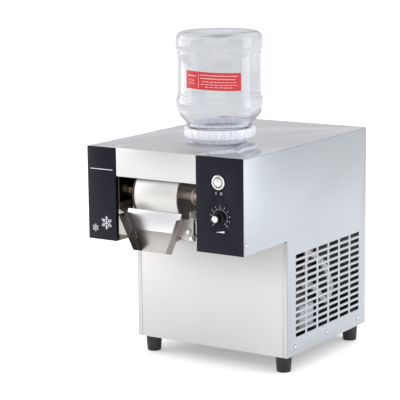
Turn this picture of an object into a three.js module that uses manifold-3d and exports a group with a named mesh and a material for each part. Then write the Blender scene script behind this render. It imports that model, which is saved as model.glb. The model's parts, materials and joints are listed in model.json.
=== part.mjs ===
// Countertop shaved ice machine: a cold drum freezes water from a tray and a fixed blade scrapes it off.
// Millimetres, +X to the right, +Y to the back, +Z up. The origin is on the bench, under the middle of the
// bounding box. Sub-parts are built in a group whose y = 0 is the front face of the housing.
import * as THREE from "three";
import { mergeVertices } from "three/addons/utils/BufferGeometryUtils.js";
import Module from "manifold-3d";

// Housing
const WIDTH = 300;
const DEPTH = 416;
const TOP = 382;
const FOOT_HEIGHT = 28.4;
const OVERHANG_Z = 227;
const CABINET_Y = 138;
const SHEET = 1.2;
const GAP = 0.3;
const HALF = WIDTH / 2;
const CHUTE_REACH = 22;
const INLET_REACH = 4;
const FRONT_Y = -(DEPTH + INLET_REACH - CHUTE_REACH) / 2;

// Bay that holds the drum, open to the front and below
const BAY_LEFT = -91;
const BAY_RIGHT = 61.5;
const BAY_BACK = 104;
const FASCIA_LEFT_EDGE = -94;
const FASCIA_RIGHT_EDGE = 63;
const FASCIA_THICK = 2;
const FASCIA_RETURN = 8;
const COVER_LOW_Z = 335.5;
const COVER_TOP = 382.7;
const COVER_DEPTH = 102;
const COVER_RETURN = 5;

// Drum and its drive; every axis here runs along X
const DRUM_Y = 45;
const DRUM_Z = 307;
const DRUM_R = 45;
const DRUM_X0 = -57;
const DRUM_X1 = 25;
const DRUM_WALL = 3;
const CAP_REACH = 4.4;
const CAP_BOLTS = 6;
const CAP_BOLT_CIRCLE = 38;
const CAP_BOLT_HEAD = 2.8;
const RECESS = 34;
const SHAFT_R = 7.5;
const SHAFT_X0 = -89;
const SHAFT_X1 = 100;
const SLINGER_X = 33;
const SLINGER_THICK = 3;
const SLINGER_R = 14.5;
const BEARING_R = 10.5;
const BEARING_REACH = 5;
const GEAR_MODULE = 1.5;
const DRUM_TEETH = 40;
const PINION_TEETH = 16;
const GEAR_X0 = 68;
const GEAR_X1 = 76;
const PINION_Y = DRUM_Y + (GEAR_MODULE * (DRUM_TEETH + PINION_TEETH)) / 2;

// Scraper and chute
const BLADE_X0 = -73;
const BLADE_X1 = 31;
const BLADE_TOP = 283.5;
const BLADE_LOW = 250;
const BLADE_Y0 = 3.5;
const BLADE_Y1 = 6;
const CHUTE_X = -17;
const CHUTE_TOP_HALF = 55.5;
const CHUTE_LOW_HALF = 28.5;
const CHUTE_TOP_Z = 278;
const CHUTE_LOW_Z = 215.5;
const CHUTE_LIP_Y = -17;
const CHUTE_LIP_Z = 220.5;
const EAR_Y0 = 1.7;
const EAR_Y1 = 3.2;
const EAR_HALF = 73;
const EAR_LOW_Z = 239;
const SCREW_HOLE_R = 2.4;
const SCREW_SPOTS = [
  { name: "left_upper", x: -77, z: 261 },
  { name: "left_lower", x: -66, z: 244.5 },
  { name: "right_upper", x: 48, z: 258 },
  { name: "right_lower", x: 53, z: 248 },
];

// Controls on the right fascia
const BUTTON_X = 105.4;
const BUTTON_Z = 342;
const KNOB_X = 107.5;
const KNOB_Z = 286;

// Water bottle
const BOTTLE_X = 15.5;
const BOTTLE_Y = 147;
const BOTTLE_TOP = 566;
const BOTTLE_WALL = 1.5;
const BOTTLE_DISH = 11;
const SEAT_HOLE_R = 38;
const FEED_X = 32;
const FEED_Z = 300;

// Ventilation slots of the side and rear panels
const SLOT_LENGTH = 32.3;
const SLOT_HEIGHT = 6.4;
const SLOT_PITCH_Y = 38.5;
const SLOT_PITCH_Z = 11.15;
const SLOT_COLUMNS = 6;
const SLOT_ROWS = 13;
const SLOT_FIRST_Y = 166.4;
const SLOT_LOW_Z = 58.85;

const STEEL = new THREE.MeshStandardMaterial({ color: 0xc9cccd, roughness: 0.35, metalness: 1 });
const POLISHED = new THREE.MeshStandardMaterial({ color: 0xd6d8d8, roughness: 0.15, metalness: 1 });
const BLACK = new THREE.MeshStandardMaterial({ color: 0x1d1f24, roughness: 0.35, metalness: 0 });
const RUBBER = new THREE.MeshStandardMaterial({ color: 0x1a1a1c, roughness: 0.8, metalness: 0 });
const DRUM_COAT = new THREE.MeshStandardMaterial({ color: 0xe4e4e2, roughness: 0.4, metalness: 0.6 });
const WHITE = new THREE.MeshStandardMaterial({ color: 0xeceef0, roughness: 0.4, metalness: 0 });
const CLEAR = new THREE.MeshStandardMaterial({
  color: 0xe8f0f4,
  roughness: 0.05,
  transparent: true,
  opacity: 0.3,
});
const COPPER = new THREE.MeshStandardMaterial({ color: 0xb87048, roughness: 0.35, metalness: 1 });
const BRASS = new THREE.MeshStandardMaterial({ color: 0xb89a52, roughness: 0.35, metalness: 1 });
const DARK_PAINT = new THREE.MeshStandardMaterial({ color: 0x17181a, roughness: 0.4, metalness: 0.2 });
const ALUMINIUM = new THREE.MeshStandardMaterial({ color: 0xb4b7ba, roughness: 0.4, metalness: 1 });
const BOARD = new THREE.MeshStandardMaterial({ color: 0x1f6a3c, roughness: 0.5, metalness: 0 });

const wasm = await Module();
wasm.setup();

const machine = new THREE.Group();
machine.position.y = FRONT_Y;

function place(name, geometry, material) {
  const mesh = new THREE.Mesh(geometry, material.clone());
  mesh.name = name;
  machine.add(mesh);
  return mesh;
}

function solid(geometry) {
  const bare = geometry.clone();
  bare.deleteAttribute("normal");
  bare.deleteAttribute("uv");
  const merged = mergeVertices(bare, 1e-4);
  return new wasm.Manifold(
    new wasm.Mesh({
      numProp: 3,
      vertProperties: new Float32Array(merged.attributes.position.array),
      triVerts: new Uint32Array(merged.index.array),
    }),
  );
}

function geometryOf(manifold) {
  const mesh = manifold.getMesh();
  const geometry = new THREE.BufferGeometry();
  geometry.setAttribute("position", new THREE.BufferAttribute(mesh.vertProperties.slice(), 3));
  geometry.setIndex(new THREE.BufferAttribute(mesh.triVerts.slice(), 1));
  geometry.computeVertexNormals();
  return geometry;
}

function join(first, ...others) {
  return geometryOf(others.reduce((sum, other) => sum.add(solid(other)), solid(first)));
}

function cut(first, ...tools) {
  return geometryOf(tools.reduce((rest, tool) => rest.subtract(solid(tool)), solid(first)));
}

function box(x0, x1, y0, y1, z0, z1) {
  const geometry = new THREE.BoxGeometry(x1 - x0, y1 - y0, z1 - z0);
  return geometry.translate((x0 + x1) / 2, (y0 + y1) / 2, (z0 + z1) / 2);
}

function polygon(points) {
  return points.map(([u, v]) => new THREE.Vector2(u, v));
}

function rectangle(u0, u1, v0, v1) {
  return [[u0, v0], [u1, v0], [u1, v1], [u0, v1]];
}

function circle(u, v, radius, sides) {
  const points = [];
  for (let i = 0; i < sides; i++) {
    const angle = (2 * Math.PI * i) / sides;
    points.push([u + radius * Math.cos(angle), v + radius * Math.sin(angle)]);
  }
  return points;
}

// An outline pushed along one axis: its own axes are (y, z) along X, (x, z) along Y and (x, y) along Z.
function prism(axis, outline, from, to) {
  const shape = new THREE.Shape(polygon(outline));
  const geometry = new THREE.ExtrudeGeometry(shape, { depth: to - from, bevelEnabled: false });
  const basis = new THREE.Matrix4();
  if (axis === "x") {
    geometry.translate(0, 0, from);
    basis.set(0, 0, 1, 0, 1, 0, 0, 0, 0, 1, 0, 0, 0, 0, 0, 1);
  }
  if (axis === "y") {
    geometry.translate(0, 0, -to);
    basis.set(1, 0, 0, 0, 0, 0, -1, 0, 0, 1, 0, 0, 0, 0, 0, 1);
  }
  if (axis === "z") geometry.translate(0, 0, from);
  return geometry.applyMatrix4(basis);
}

function extrude(axis, outline, holes, from, to) {
  const body = prism(axis, outline, from, to);
  return holes.length ? cut(body, ...holes.map((hole) => prism(axis, hole, from - 1, to + 1))) : body;
}

// A closed outline of (radius, height) turned about an axis through the given point.
function revolve(axis, profile, sides, x, y, z) {
  const area = profile.reduce((sum, [r, h], i) => {
    const [r1, h1] = profile[(i + 1) % profile.length];
    return sum + r * h1 - r1 * h;
  }, 0);
  const ordered = area > 0 ? profile : [...profile].reverse();
  const closed = polygon([...ordered, ordered[0]]);
  const geometry = new THREE.LatheGeometry(closed, sides);
  if (axis === "z") geometry.rotateX(Math.PI / 2);
  if (axis === "x") geometry.rotateZ(-Math.PI / 2);
  return geometry.translate(x, y, z);
}

function rod(axis, radius, from, to, sides, x, y, z) {
  return revolve(axis, [[0, from], [radius, from], [radius, to], [0, to]], sides, x, y, z);
}

function ring(axis, inner, outer, from, to, sides, x, y, z) {
  const profile = [[inner, from], [outer, from], [outer, to], [inner, to]];
  return revolve(axis, profile, sides, x, y, z);
}

function tube(points, radius, steps, sides) {
  const path = new THREE.CatmullRomCurve3(points.map(([x, y, z]) => new THREE.Vector3(x, y, z)));
  const section = new THREE.Shape(polygon(circle(0, 0, radius, sides)));
  return new THREE.ExtrudeGeometry(section, { steps, bevelEnabled: false, extrudePath: path });
}

function slots(firstU, columns, pitchU, firstV, rows) {
  const holes = [];
  for (let column = 0; column < columns; column++) {
    const u = firstU + column * pitchU;
    for (let row = 0; row < rows; row++) {
      const v = firstV + row * SLOT_PITCH_Z;
      holes.push(rectangle(u, u + SLOT_LENGTH, v, v + SLOT_HEIGHT));
    }
  }
  return holes;
}

// Sheet metal housing

function basePlate() {
  const low = FOOT_HEIGHT + GAP;
  const x = HALF - SHEET - GAP;
  const y0 = CABINET_Y + SHEET + GAP;
  const y1 = DEPTH - SHEET - GAP;
  const floor = box(-x, x, y0, y1, low, low + SHEET);
  const right = box(x - SHEET, x, y0, y1, low, low + 20);
  const left = box(-x, -x + SHEET, y0, y1, low, low + 20);
  place("base_plate", join(floor, right, left), STEEL);
}

function sidePanel(name, side) {
  const low = FOOT_HEIGHT + GAP;
  const outline = [
    [CABINET_Y, low],
    [DEPTH, low],
    [DEPTH, TOP - SHEET - GAP],
    [FASCIA_THICK + GAP, TOP - SHEET - GAP],
    [FASCIA_THICK + GAP, OVERHANG_Z],
    [CABINET_Y, OVERHANG_Z],
  ];
  const vents = slots(SLOT_FIRST_Y, SLOT_COLUMNS, SLOT_PITCH_Y, SLOT_LOW_Z, SLOT_ROWS);
  const outer = side * HALF;
  const inner = side * (HALF - SHEET);
  const sheet = extrude("x", outline, vents, Math.min(inner, outer), Math.max(inner, outer));
  const lip = side * (HALF - 8);
  const [x0, x1] = [Math.min(lip, outer), Math.max(lip, outer)];
  const flange = box(x0, x1, CABINET_Y, CABINET_Y + SHEET, low, OVERHANG_Z);
  place(name, join(sheet, flange), STEEL);
}

function topPanel() {
  const y0 = FASCIA_THICK + GAP;
  const outline = [
    [-HALF, y0],
    [BAY_LEFT - SHEET - GAP, y0],
    [BAY_LEFT - SHEET - GAP, COVER_DEPTH + GAP],
    [FASCIA_RIGHT_EDGE, COVER_DEPTH + GAP],
    [FASCIA_RIGHT_EDGE, y0],
    [HALF, y0],
    [HALF, DEPTH],
    [-HALF, DEPTH],
  ];
  const hole = circle(BOTTLE_X, BOTTLE_Y, SEAT_HOLE_R, 32);
  const sheet = extrude("z", outline, [hole], TOP - SHEET, TOP);
  place("top_panel", sheet, STEEL);
}

function rearPanel() {
  const low = FOOT_HEIGHT + GAP;
  const x = HALF - SHEET - GAP;
  const vents = slots(-119, 4, SLOT_PITCH_Y, SLOT_LOW_Z, SLOT_ROWS);
  const inlet = rectangle(92, 120, 50, 72);
  const outline = rectangle(-x, x, low, TOP - SHEET - GAP);
  place("rear_panel", extrude("y", outline, [...vents, inlet], DEPTH - SHEET, DEPTH), STEEL);
}

function lowerFrontPanel() {
  const x = HALF - 8 - GAP;
  const low = FOOT_HEIGHT + GAP;
  place("lower_front_panel", box(-x, x, CABINET_Y, CABINET_Y + SHEET, low, OVERHANG_Z), STEEL);
}

function deckPlate() {
  const x = HALF - SHEET - GAP;
  const outline = rectangle(-x, x, CABINET_Y + GAP, DEPTH - SHEET - GAP);
  const lineHole = circle(120, 200, 12, 16);
  const deck = extrude("z", outline, [lineHole], OVERHANG_Z + GAP, OVERHANG_Z + GAP + SHEET);
  place("deck_plate", deck, STEEL);
}

// Underside of the overhang, open where the bay is.
function overhangFloor() {
  const x = HALF - SHEET - GAP;
  const y0 = FASCIA_THICK + GAP;
  const y1 = CABINET_Y;
  const bayX0 = BAY_LEFT - SHEET - 1;
  const bayX1 = BAY_RIGHT + SHEET;
  const outline = [
    [-x, y0],
    [bayX0, y0],
    [bayX0, BAY_BACK],
    [bayX1, BAY_BACK],
    [bayX1, FASCIA_RETURN + GAP],
    [x, FASCIA_RETURN + GAP],
    [x, y1],
    [-x, y1],
  ];
  place("overhang_floor", extrude("z", outline, [], OVERHANG_Z, OVERHANG_Z + SHEET), STEEL);
}

// Left, rear and right walls of the bay, bent from one sheet.
function bayLiner() {
  const z0 = OVERHANG_Z + SHEET + GAP;
  const z1 = TOP - SHEET - GAP;
  const y0 = COVER_RETURN + GAP;
  const outline = [
    [BAY_LEFT - SHEET, y0],
    [BAY_LEFT, y0],
    [BAY_LEFT, BAY_BACK],
    [BAY_RIGHT, BAY_BACK],
    [BAY_RIGHT, y0],
    [BAY_RIGHT + SHEET, y0],
    [BAY_RIGHT + SHEET, BAY_BACK + SHEET],
    [BAY_LEFT - SHEET, BAY_BACK + SHEET],
  ];
  const walls = extrude("z", outline, [], z0, z1);
  const shaftHole = rod("x", SHAFT_R + 3, BAY_RIGHT - 2, BAY_RIGHT + 4, 24, 0, DRUM_Y, DRUM_Z);
  const tubeHole = rod("y", 7, BAY_BACK - 3, BAY_BACK + 4, 16, FEED_X, 0, FEED_Z);
  place("bay_liner", cut(walls, shaftHole, tubeHole), POLISHED);
}

// Fascias, with the black edge turned back into the bay

function fasciaLeft() {
  const outline = [
    [-HALF, 0],
    [FASCIA_LEFT_EDGE, 0],
    [FASCIA_LEFT_EDGE, FASCIA_RETURN],
    [FASCIA_LEFT_EDGE - 1.2, FASCIA_RETURN],
    [FASCIA_LEFT_EDGE - 1.2, FASCIA_THICK],
    [-HALF, FASCIA_THICK],
  ];
  const sheet = extrude("z", outline, [], OVERHANG_Z, TOP);
  const notch = box(-160, -80, FASCIA_THICK + 0.01, FASCIA_RETURN + 2, TOP - SHEET - GAP, TOP + 2);
  const notchTop = OVERHANG_Z + SHEET + GAP;
  const lowNotch = box(-160, -80, FASCIA_THICK + 0.01, FASCIA_RETURN + 2, OVERHANG_Z - 2, notchTop);
  place("fascia_left", cut(sheet, notch, lowNotch), BLACK);
}

function fasciaRight() {
  const outline = [
    [FASCIA_RIGHT_EDGE, 0],
    [HALF, 0],
    [HALF, FASCIA_THICK],
    [FASCIA_RIGHT_EDGE + 1.2, FASCIA_THICK],
    [FASCIA_RIGHT_EDGE + 1.2, FASCIA_RETURN],
    [FASCIA_RIGHT_EDGE, FASCIA_RETURN],
  ];
  const sheet = extrude("z", outline, [], OVERHANG_Z, TOP);
  const notch = box(60, 160, FASCIA_THICK + 0.01, FASCIA_RETURN + 2, TOP - SHEET - GAP, TOP + 2);
  const notchTop = OVERHANG_Z + SHEET + GAP;
  const lowNotch = box(60, 160, FASCIA_THICK + 0.01, FASCIA_RETURN + 2, OVERHANG_Z - 2, notchTop);
  const buttonHole = rod("y", 9.6, -3, 4, 24, BUTTON_X, 0, BUTTON_Z);
  const knobHole = rod("y", 4.2, -3, 4, 16, KNOB_X, 0, KNOB_Z);
  place("fascia_right", cut(sheet, notch, lowNotch, buttonHole, knobHole), BLACK);
}

// Bent cover over the drum: a front plate, a top plate and a small return under the front plate.
function drumCover() {
  const outline = [
    [0, COVER_LOW_Z],
    [COVER_RETURN, COVER_LOW_Z],
    [COVER_RETURN, COVER_LOW_Z + SHEET],
    [SHEET, COVER_LOW_Z + SHEET],
    [SHEET, COVER_TOP - SHEET],
    [COVER_DEPTH, COVER_TOP - SHEET],
    [COVER_DEPTH, COVER_TOP],
    [0, COVER_TOP],
  ];
  const x0 = BAY_LEFT - SHEET;
  const x1 = FASCIA_RIGHT_EDGE - GAP;
  place("drum_cover", extrude("x", outline, [], x0, x1), STEEL);
}

// Cold drum and its shaft

function drumShell() {
  const shell = ring("x", DRUM_R - DRUM_WALL, DRUM_R, DRUM_X0, DRUM_X1, 48, 0, DRUM_Y, DRUM_Z);
  place("drum_shell", shell, DRUM_COAT);
}

// The bolted cap that closes the drum's left end, with a spigot inside the shell
function drumEndLeft() {
  const face = DRUM_X0 - CAP_REACH;
  const back = DRUM_X0 - GAP;
  const bore = SHAFT_R + GAP;
  const flange = ring("x", bore, DRUM_R - 0.5, face, back, 32, 0, DRUM_Y, DRUM_Z);
  const spigot = ring("x", bore, DRUM_R - DRUM_WALL - GAP, back - 1, DRUM_X0 + 5, 32, 0, DRUM_Y, DRUM_Z);
  const bolts = [];
  for (let i = 0; i < CAP_BOLTS; i++) {
    const turn = ((i + 0.2) * 2 * Math.PI) / CAP_BOLTS;
    const y = DRUM_Y - CAP_BOLT_CIRCLE * Math.cos(turn);
    const z = DRUM_Z - CAP_BOLT_CIRCLE * Math.sin(turn);
    bolts.push(rod("x", 2.8, face - CAP_BOLT_HEAD, face + 1, 6, 0, y, z));
  }
  place("drum_end_left", join(flange, spigot, ...bolts), BLACK);
}

// The plate that closes the drum's deeply recessed right end
function drumEndRight() {
  const bore = SHAFT_R + GAP;
  const face = DRUM_X1 - RECESS;
  const disc = ring("x", bore, DRUM_R - DRUM_WALL - GAP, face - 4, face, 32, 0, DRUM_Y, DRUM_Z);
  const hub = ring("x", bore, 13, face - 14, face + 2, 32, 0, DRUM_Y, DRUM_Z);
  place("drum_end_right", join(disc, hub), POLISHED);
}

// The drum's hollow axle, drawn solid, with the disc that throws off water before it reaches the bearing
function drumShaft() {
  const profile = [
    [0, SHAFT_X0],
    [SHAFT_R, SHAFT_X0],
    [SHAFT_R, SLINGER_X],
    [SLINGER_R, SLINGER_X],
    [SLINGER_R, SLINGER_X + SLINGER_THICK],
    [SHAFT_R, SLINGER_X + SLINGER_THICK],
    [SHAFT_R, SHAFT_X1],
    [0, SHAFT_X1],
  ];
  place("drum_shaft", revolve("x", profile, 28, 0, DRUM_Y, DRUM_Z), POLISHED);
}

// Involute outline, thinned for backlash, with its first tooth centred on the turn angle.
function gearOutline(teeth, turn, u, v) {
  const pressure = (20 * Math.PI) / 180;
  const pitchR = (GEAR_MODULE * teeth) / 2;
  const baseR = pitchR * Math.cos(pressure);
  const tipR = pitchR + 0.95 * GEAR_MODULE;
  const rootR = pitchR - 1.25 * GEAR_MODULE;
  const backlash = 0.12 / pitchR;
  const involute = (radius) => {
    const angle = Math.acos(Math.min(1, baseR / radius));
    return Math.tan(angle) - angle;
  };
  const halfTooth = Math.PI / (2 * teeth) - backlash;
  const flank = [];
  const half = (radius) => halfTooth + involute(pitchR) - involute(Math.max(radius, baseR));
  for (const radius of [rootR, pitchR, tipR]) flank.push([radius, half(radius)]);
  const points = [];
  for (let tooth = 0; tooth < teeth; tooth++) {
    const centre = turn + (2 * Math.PI * tooth) / teeth;
    for (const [radius, angle] of flank) {
      points.push([u + radius * Math.cos(centre - angle), v + radius * Math.sin(centre - angle)]);
    }
    for (const [radius, angle] of [...flank].reverse()) {
      points.push([u + radius * Math.cos(centre + angle), v + radius * Math.sin(centre + angle)]);
    }
  }
  return points;
}

function drumGear() {
  const outline = gearOutline(DRUM_TEETH, 0, DRUM_Y, DRUM_Z);
  const bore = circle(DRUM_Y, DRUM_Z, SHAFT_R + GAP, 32);
  place("drum_gear", extrude("x", outline, [bore], GEAR_X0, GEAR_X1), BRASS);
}

function motorPinion() {
  const turn = Math.PI - Math.PI / PINION_TEETH;
  const outline = gearOutline(PINION_TEETH, turn, PINION_Y, DRUM_Z);
  const teeth = extrude("x", outline, [], GEAR_X0, GEAR_X1);
  const stub = rod("x", 4, GEAR_X1 - 1, 86, 16, 0, PINION_Y, DRUM_Z);
  place("motor_pinion", join(teeth, stub), STEEL);
}

// A stepped boss bolted to the bay wall, each step given as its reach off the wall and its radius
function bearingHousing(name, wallX, side, steps) {
  const near = wallX - side * GAP;
  const along = (reach, inner, outer) => {
    const far = wallX - side * reach;
    return ring("x", inner, outer, Math.min(near, far), Math.max(near, far), 28, 0, DRUM_Y, DRUM_Z);
  };
  const boss = join(...steps.map(([reach, radius]) => along(reach, SHAFT_R + 0.6, radius)));
  const pocket = along(BEARING_REACH + GAP, SHAFT_R + 0.3, BEARING_R + GAP);
  place("bearing_housing_" + name, cut(boss, pocket), POLISHED);
  place("bearing_" + name, along(BEARING_REACH, SHAFT_R + GAP, BEARING_R), STEEL);
}

function rotaryUnion() {
  const body = rod("x", 9.5, SHAFT_X1 + GAP, SHAFT_X1 + 22, 24, 0, DRUM_Y, DRUM_Z);
  const port = rod("z", 4, DRUM_Z + 5, DRUM_Z + 16, 12, SHAFT_X1 + 12, DRUM_Y, 0);
  place("rotary_union", join(body, port), BRASS);
}

// Geared motor behind the right fascia and the plate that carries it

function drumMotor() {
  const plate = extrude(
    "x",
    rectangle(PINION_Y - 30, PINION_Y + 40, DRUM_Z - 32, DRUM_Z + 32),
    [circle(PINION_Y, DRUM_Z, 6, 16)],
    79,
    81,
  );
  const foot = box(63.2, 81, PINION_Y + 38, PINION_Y + 40, DRUM_Z - 32, DRUM_Z + 32);
  const shortFoot = cut(foot, box(60, 64.2, PINION_Y + 30, PINION_Y + 45, DRUM_Z - 40, DRUM_Z + 40));
  place("motor_bracket", join(plate, shortFoot), STEEL);
  const gearbox = box(81.3, 112, PINION_Y - 27, PINION_Y + 33, DRUM_Z - 30, DRUM_Z + 30);
  const shaftWell = rod("x", 5, 80, 90, 16, 0, PINION_Y, DRUM_Z);
  const can = rod("x", 27, 111, 146, 40, 0, PINION_Y + 3, DRUM_Z);
  place("drum_motor", join(cut(gearbox, shaftWell), can), DARK_PAINT);
}

// Scraper

function scraperBlade() {
  const outline = [
    [BLADE_Y0, BLADE_LOW],
    [BLADE_Y1, BLADE_LOW],
    [BLADE_Y1, BLADE_TOP],
    [BLADE_Y1 - 0.3, BLADE_TOP],
    [BLADE_Y0, BLADE_TOP - 4.5],
  ];
  place("scraper_blade", extrude("x", outline, [], BLADE_X0, BLADE_X1), POLISHED);
}

function bladeHolder() {
  const holes = SCREW_SPOTS.map(({ x, z }) => circle(x, z, SCREW_HOLE_R, 12));
  const outline = rectangle(BAY_LEFT + GAP, BAY_RIGHT - GAP, 240, 275);
  place("blade_holder", extrude("y", outline, holes, BLADE_Y1 + GAP, BLADE_Y1 + GAP + 2), STEEL);
}

// Half-width of the chute between its two fins at a height.
function chuteHalf(z) {
  const share = (z - CHUTE_LOW_Z) / (CHUTE_TOP_Z - CHUTE_LOW_Z);
  return CHUTE_LOW_HALF + share * (CHUTE_TOP_HALF - CHUTE_LOW_HALF);
}

// The space in front of and under a fin's leaning front edge and sloping lower edge
function finWaste() {
  const outline = [
    [-CHUTE_REACH, CHUTE_TOP_Z + 1],
    [-CHUTE_REACH - 5, CHUTE_TOP_Z + 1],
    [-CHUTE_REACH - 5, CHUTE_LOW_Z - 5],
    [EAR_Y1 + 1, CHUTE_LOW_Z - 5],
    [EAR_Y1 + 1, CHUTE_LOW_Z],
    [CHUTE_LIP_Y, CHUTE_LIP_Z],
    [-CHUTE_REACH, CHUTE_TOP_Z],
  ];
  return extrude("x", outline, [], CHUTE_X - EAR_HALF, CHUTE_X + EAR_HALF);
}

function chuteFin(side) {
  const x = (z) => CHUTE_X + side * chuteHalf(z);
  const outline = [
    [x(CHUTE_LOW_Z), CHUTE_LOW_Z],
    [x(CHUTE_LOW_Z) + side * SHEET, CHUTE_LOW_Z],
    [x(CHUTE_TOP_Z) + side * SHEET, CHUTE_TOP_Z],
    [x(CHUTE_TOP_Z), CHUTE_TOP_Z],
  ];
  return cut(extrude("y", outline, [], -CHUTE_REACH, EAR_Y1), finWaste());
}

function chuteEar(side) {
  const x = (offset) => CHUTE_X + side * offset;
  const outline = [
    [x(chuteHalf(EAR_LOW_Z) + 0.5), EAR_LOW_Z],
    [x(EAR_HALF), EAR_LOW_Z],
    [x(EAR_HALF), 281],
    [x(chuteHalf(274) + 0.5), 274],
  ];
  const fold = x(chuteHalf(EAR_LOW_Z) + 2);
  const relief = rectangle(fold, fold + side * 3, EAR_LOW_Z - 1, EAR_LOW_Z + 8);
  const holes = SCREW_SPOTS.filter((spot) => Math.sign(spot.x - CHUTE_X) === side)
    .map((spot) => circle(spot.x, spot.z, SCREW_HOLE_R, 12));
  return extrude("y", outline, [relief, ...holes], EAR_Y0, EAR_Y1);
}

function snowChute() {
  const top = BLADE_LOW - GAP;
  const backProfile = [
    [3.4, top],
    [3.4 + SHEET, top],
    [1.9 + SHEET, CHUTE_LOW_Z],
    [1.9, CHUTE_LOW_Z],
  ];
  const back = extrude("x", backProfile, [], CHUTE_X - CHUTE_TOP_HALF, CHUTE_X + CHUTE_TOP_HALF);
  const cutAway = (side) => {
    const x = (z) => CHUTE_X + side * (chuteHalf(z) + SHEET);
    const low = CHUTE_LOW_Z - 10;
    const outline = [
      [x(low), low],
      [CHUTE_X + side * 90, low],
      [CHUTE_X + side * 90, 270],
      [x(270), 270],
    ];
    return extrude("y", outline, [], -5, 10);
  };
  const trimmed = cut(back, cutAway(-1), cutAway(1));
  const chute = join(trimmed, chuteFin(-1), chuteFin(1), chuteEar(-1), chuteEar(1));
  place("snow_chute", chute, POLISHED);
}

function chuteScrew({ name, x, z }) {
  const profile = [
    [0, -5],
    [3, -5],
    [4.2, -4],
    [4.4, 0],
    [4.4, EAR_Y0 - GAP],
    [1.9, EAR_Y0 - GAP],
    [1.9, BLADE_Y1 + 2],
    [0, BLADE_Y1 + 2],
  ];
  place("chute_screw_" + name, revolve("y", profile, 12, x, 0, z), STEEL);
}

// Water path

function waterTray() {
  const x0 = -72;
  const x1 = 40;
  const y0 = 10;
  const y1 = 95;
  const wall = 1.5;
  const outer = box(x0, x1, y0, y1, 250, 285);
  const inner = box(x0 + wall, x1 - wall, y0 + wall, y1 - wall, 250 + wall, 290);
  const lowFront = box(x0 - 5, x1 + 5, y0 - 5, y0 + 8, 268, 290);
  const tabLeft = box(BAY_LEFT + GAP, x0 + 1, 30, 80, 271, 272.5);
  const tabRight = box(x1 - 1, BAY_RIGHT - GAP, 30, 80, 271, 272.5);
  place("water_tray", join(cut(outer, inner, lowFront), tabLeft, tabRight), WHITE);
}

function bottleSeat() {
  const profile = [
    [30, 370],
    [SEAT_HOLE_R - 0.5, 370],
    [SEAT_HOLE_R - 0.5, TOP + GAP],
    [43, TOP + GAP],
    [45, TOP + 4],
    [46, TOP + 6],
    [30, TOP + 6],
  ];
  place("bottle_seat", revolve("z", profile, 32, BOTTLE_X, BOTTLE_Y, 0), CLEAR);
}

function feedCup() {
  const profile = [
    [3, 340],
    [35, 340],
    [36, 369.5],
    [34, 369.5],
    [33, 342],
    [3, 342],
  ];
  place("feed_cup", revolve("z", profile, 24, BOTTLE_X, BOTTLE_Y, 0), WHITE);
}

function feedValve() {
  const body = box(BOTTLE_X - 14, BOTTLE_X + 14, BOTTLE_Y - 14, BOTTLE_Y + 14, 312, 334);
  const nipple = rod("z", 5, 333, 339.7, 12, BOTTLE_X, BOTTLE_Y, 0);
  const coil = rod("x", 10, BOTTLE_X + 13, BOTTLE_X + 40, 20, 0, BOTTLE_Y, 323);
  place("feed_valve", join(body, nipple, coil), DARK_PAINT);
}

function feedTube() {
  const route = [
    [BOTTLE_X, BOTTLE_Y, 311.7],
    [BOTTLE_X, BOTTLE_Y, 304],
    [BOTTLE_X + 6, BOTTLE_Y - 12, 300],
    [FEED_X, BAY_BACK + 8, FEED_Z],
    [FEED_X, BAY_BACK - 6, FEED_Z],
    [FEED_X, 89, 294],
    [FEED_X, 87, 276],
  ];
  place("feed_tube", tube(route, 4, 20, 8), CLEAR);
}

// Refrigeration

function compressor() {
  const profile = [
    [0, 44],
    [40, 44],
    [47, 52],
    [48, 96],
    [50, 98],
    [50, 104],
    [47, 106],
    [45, 140],
    [34, 156],
    [0, 162],
  ];
  const can = revolve("z", profile, 24, 72, 240, 0);
  const foot = box(22, 122, 200, 280, 40, 45);
  const terminals = box(6, 32, 222, 258, 84, 118);
  const legs = [];
  for (const x of [30, 114]) {
    for (const y of [208, 272]) legs.push(rod("z", 7, FOOT_HEIGHT + GAP + SHEET + GAP, 41, 12, x, y, 0));
  }
  place("compressor", join(can, foot, terminals, ...legs), DARK_PAINT);
}

function condenser() {
  const core = box(-135, 45, 376, 404, 44, 204);
  const headerLeft = box(-139, -133, 374, 406, 40, 208);
  const headerRight = box(43, 49, 374, 406, 40, 208);
  const rail = box(-139, 49, 374, 406, FOOT_HEIGHT + GAP + SHEET + GAP, 42);
  place("condenser", join(core, headerLeft, headerRight, rail), ALUMINIUM);
}

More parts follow.
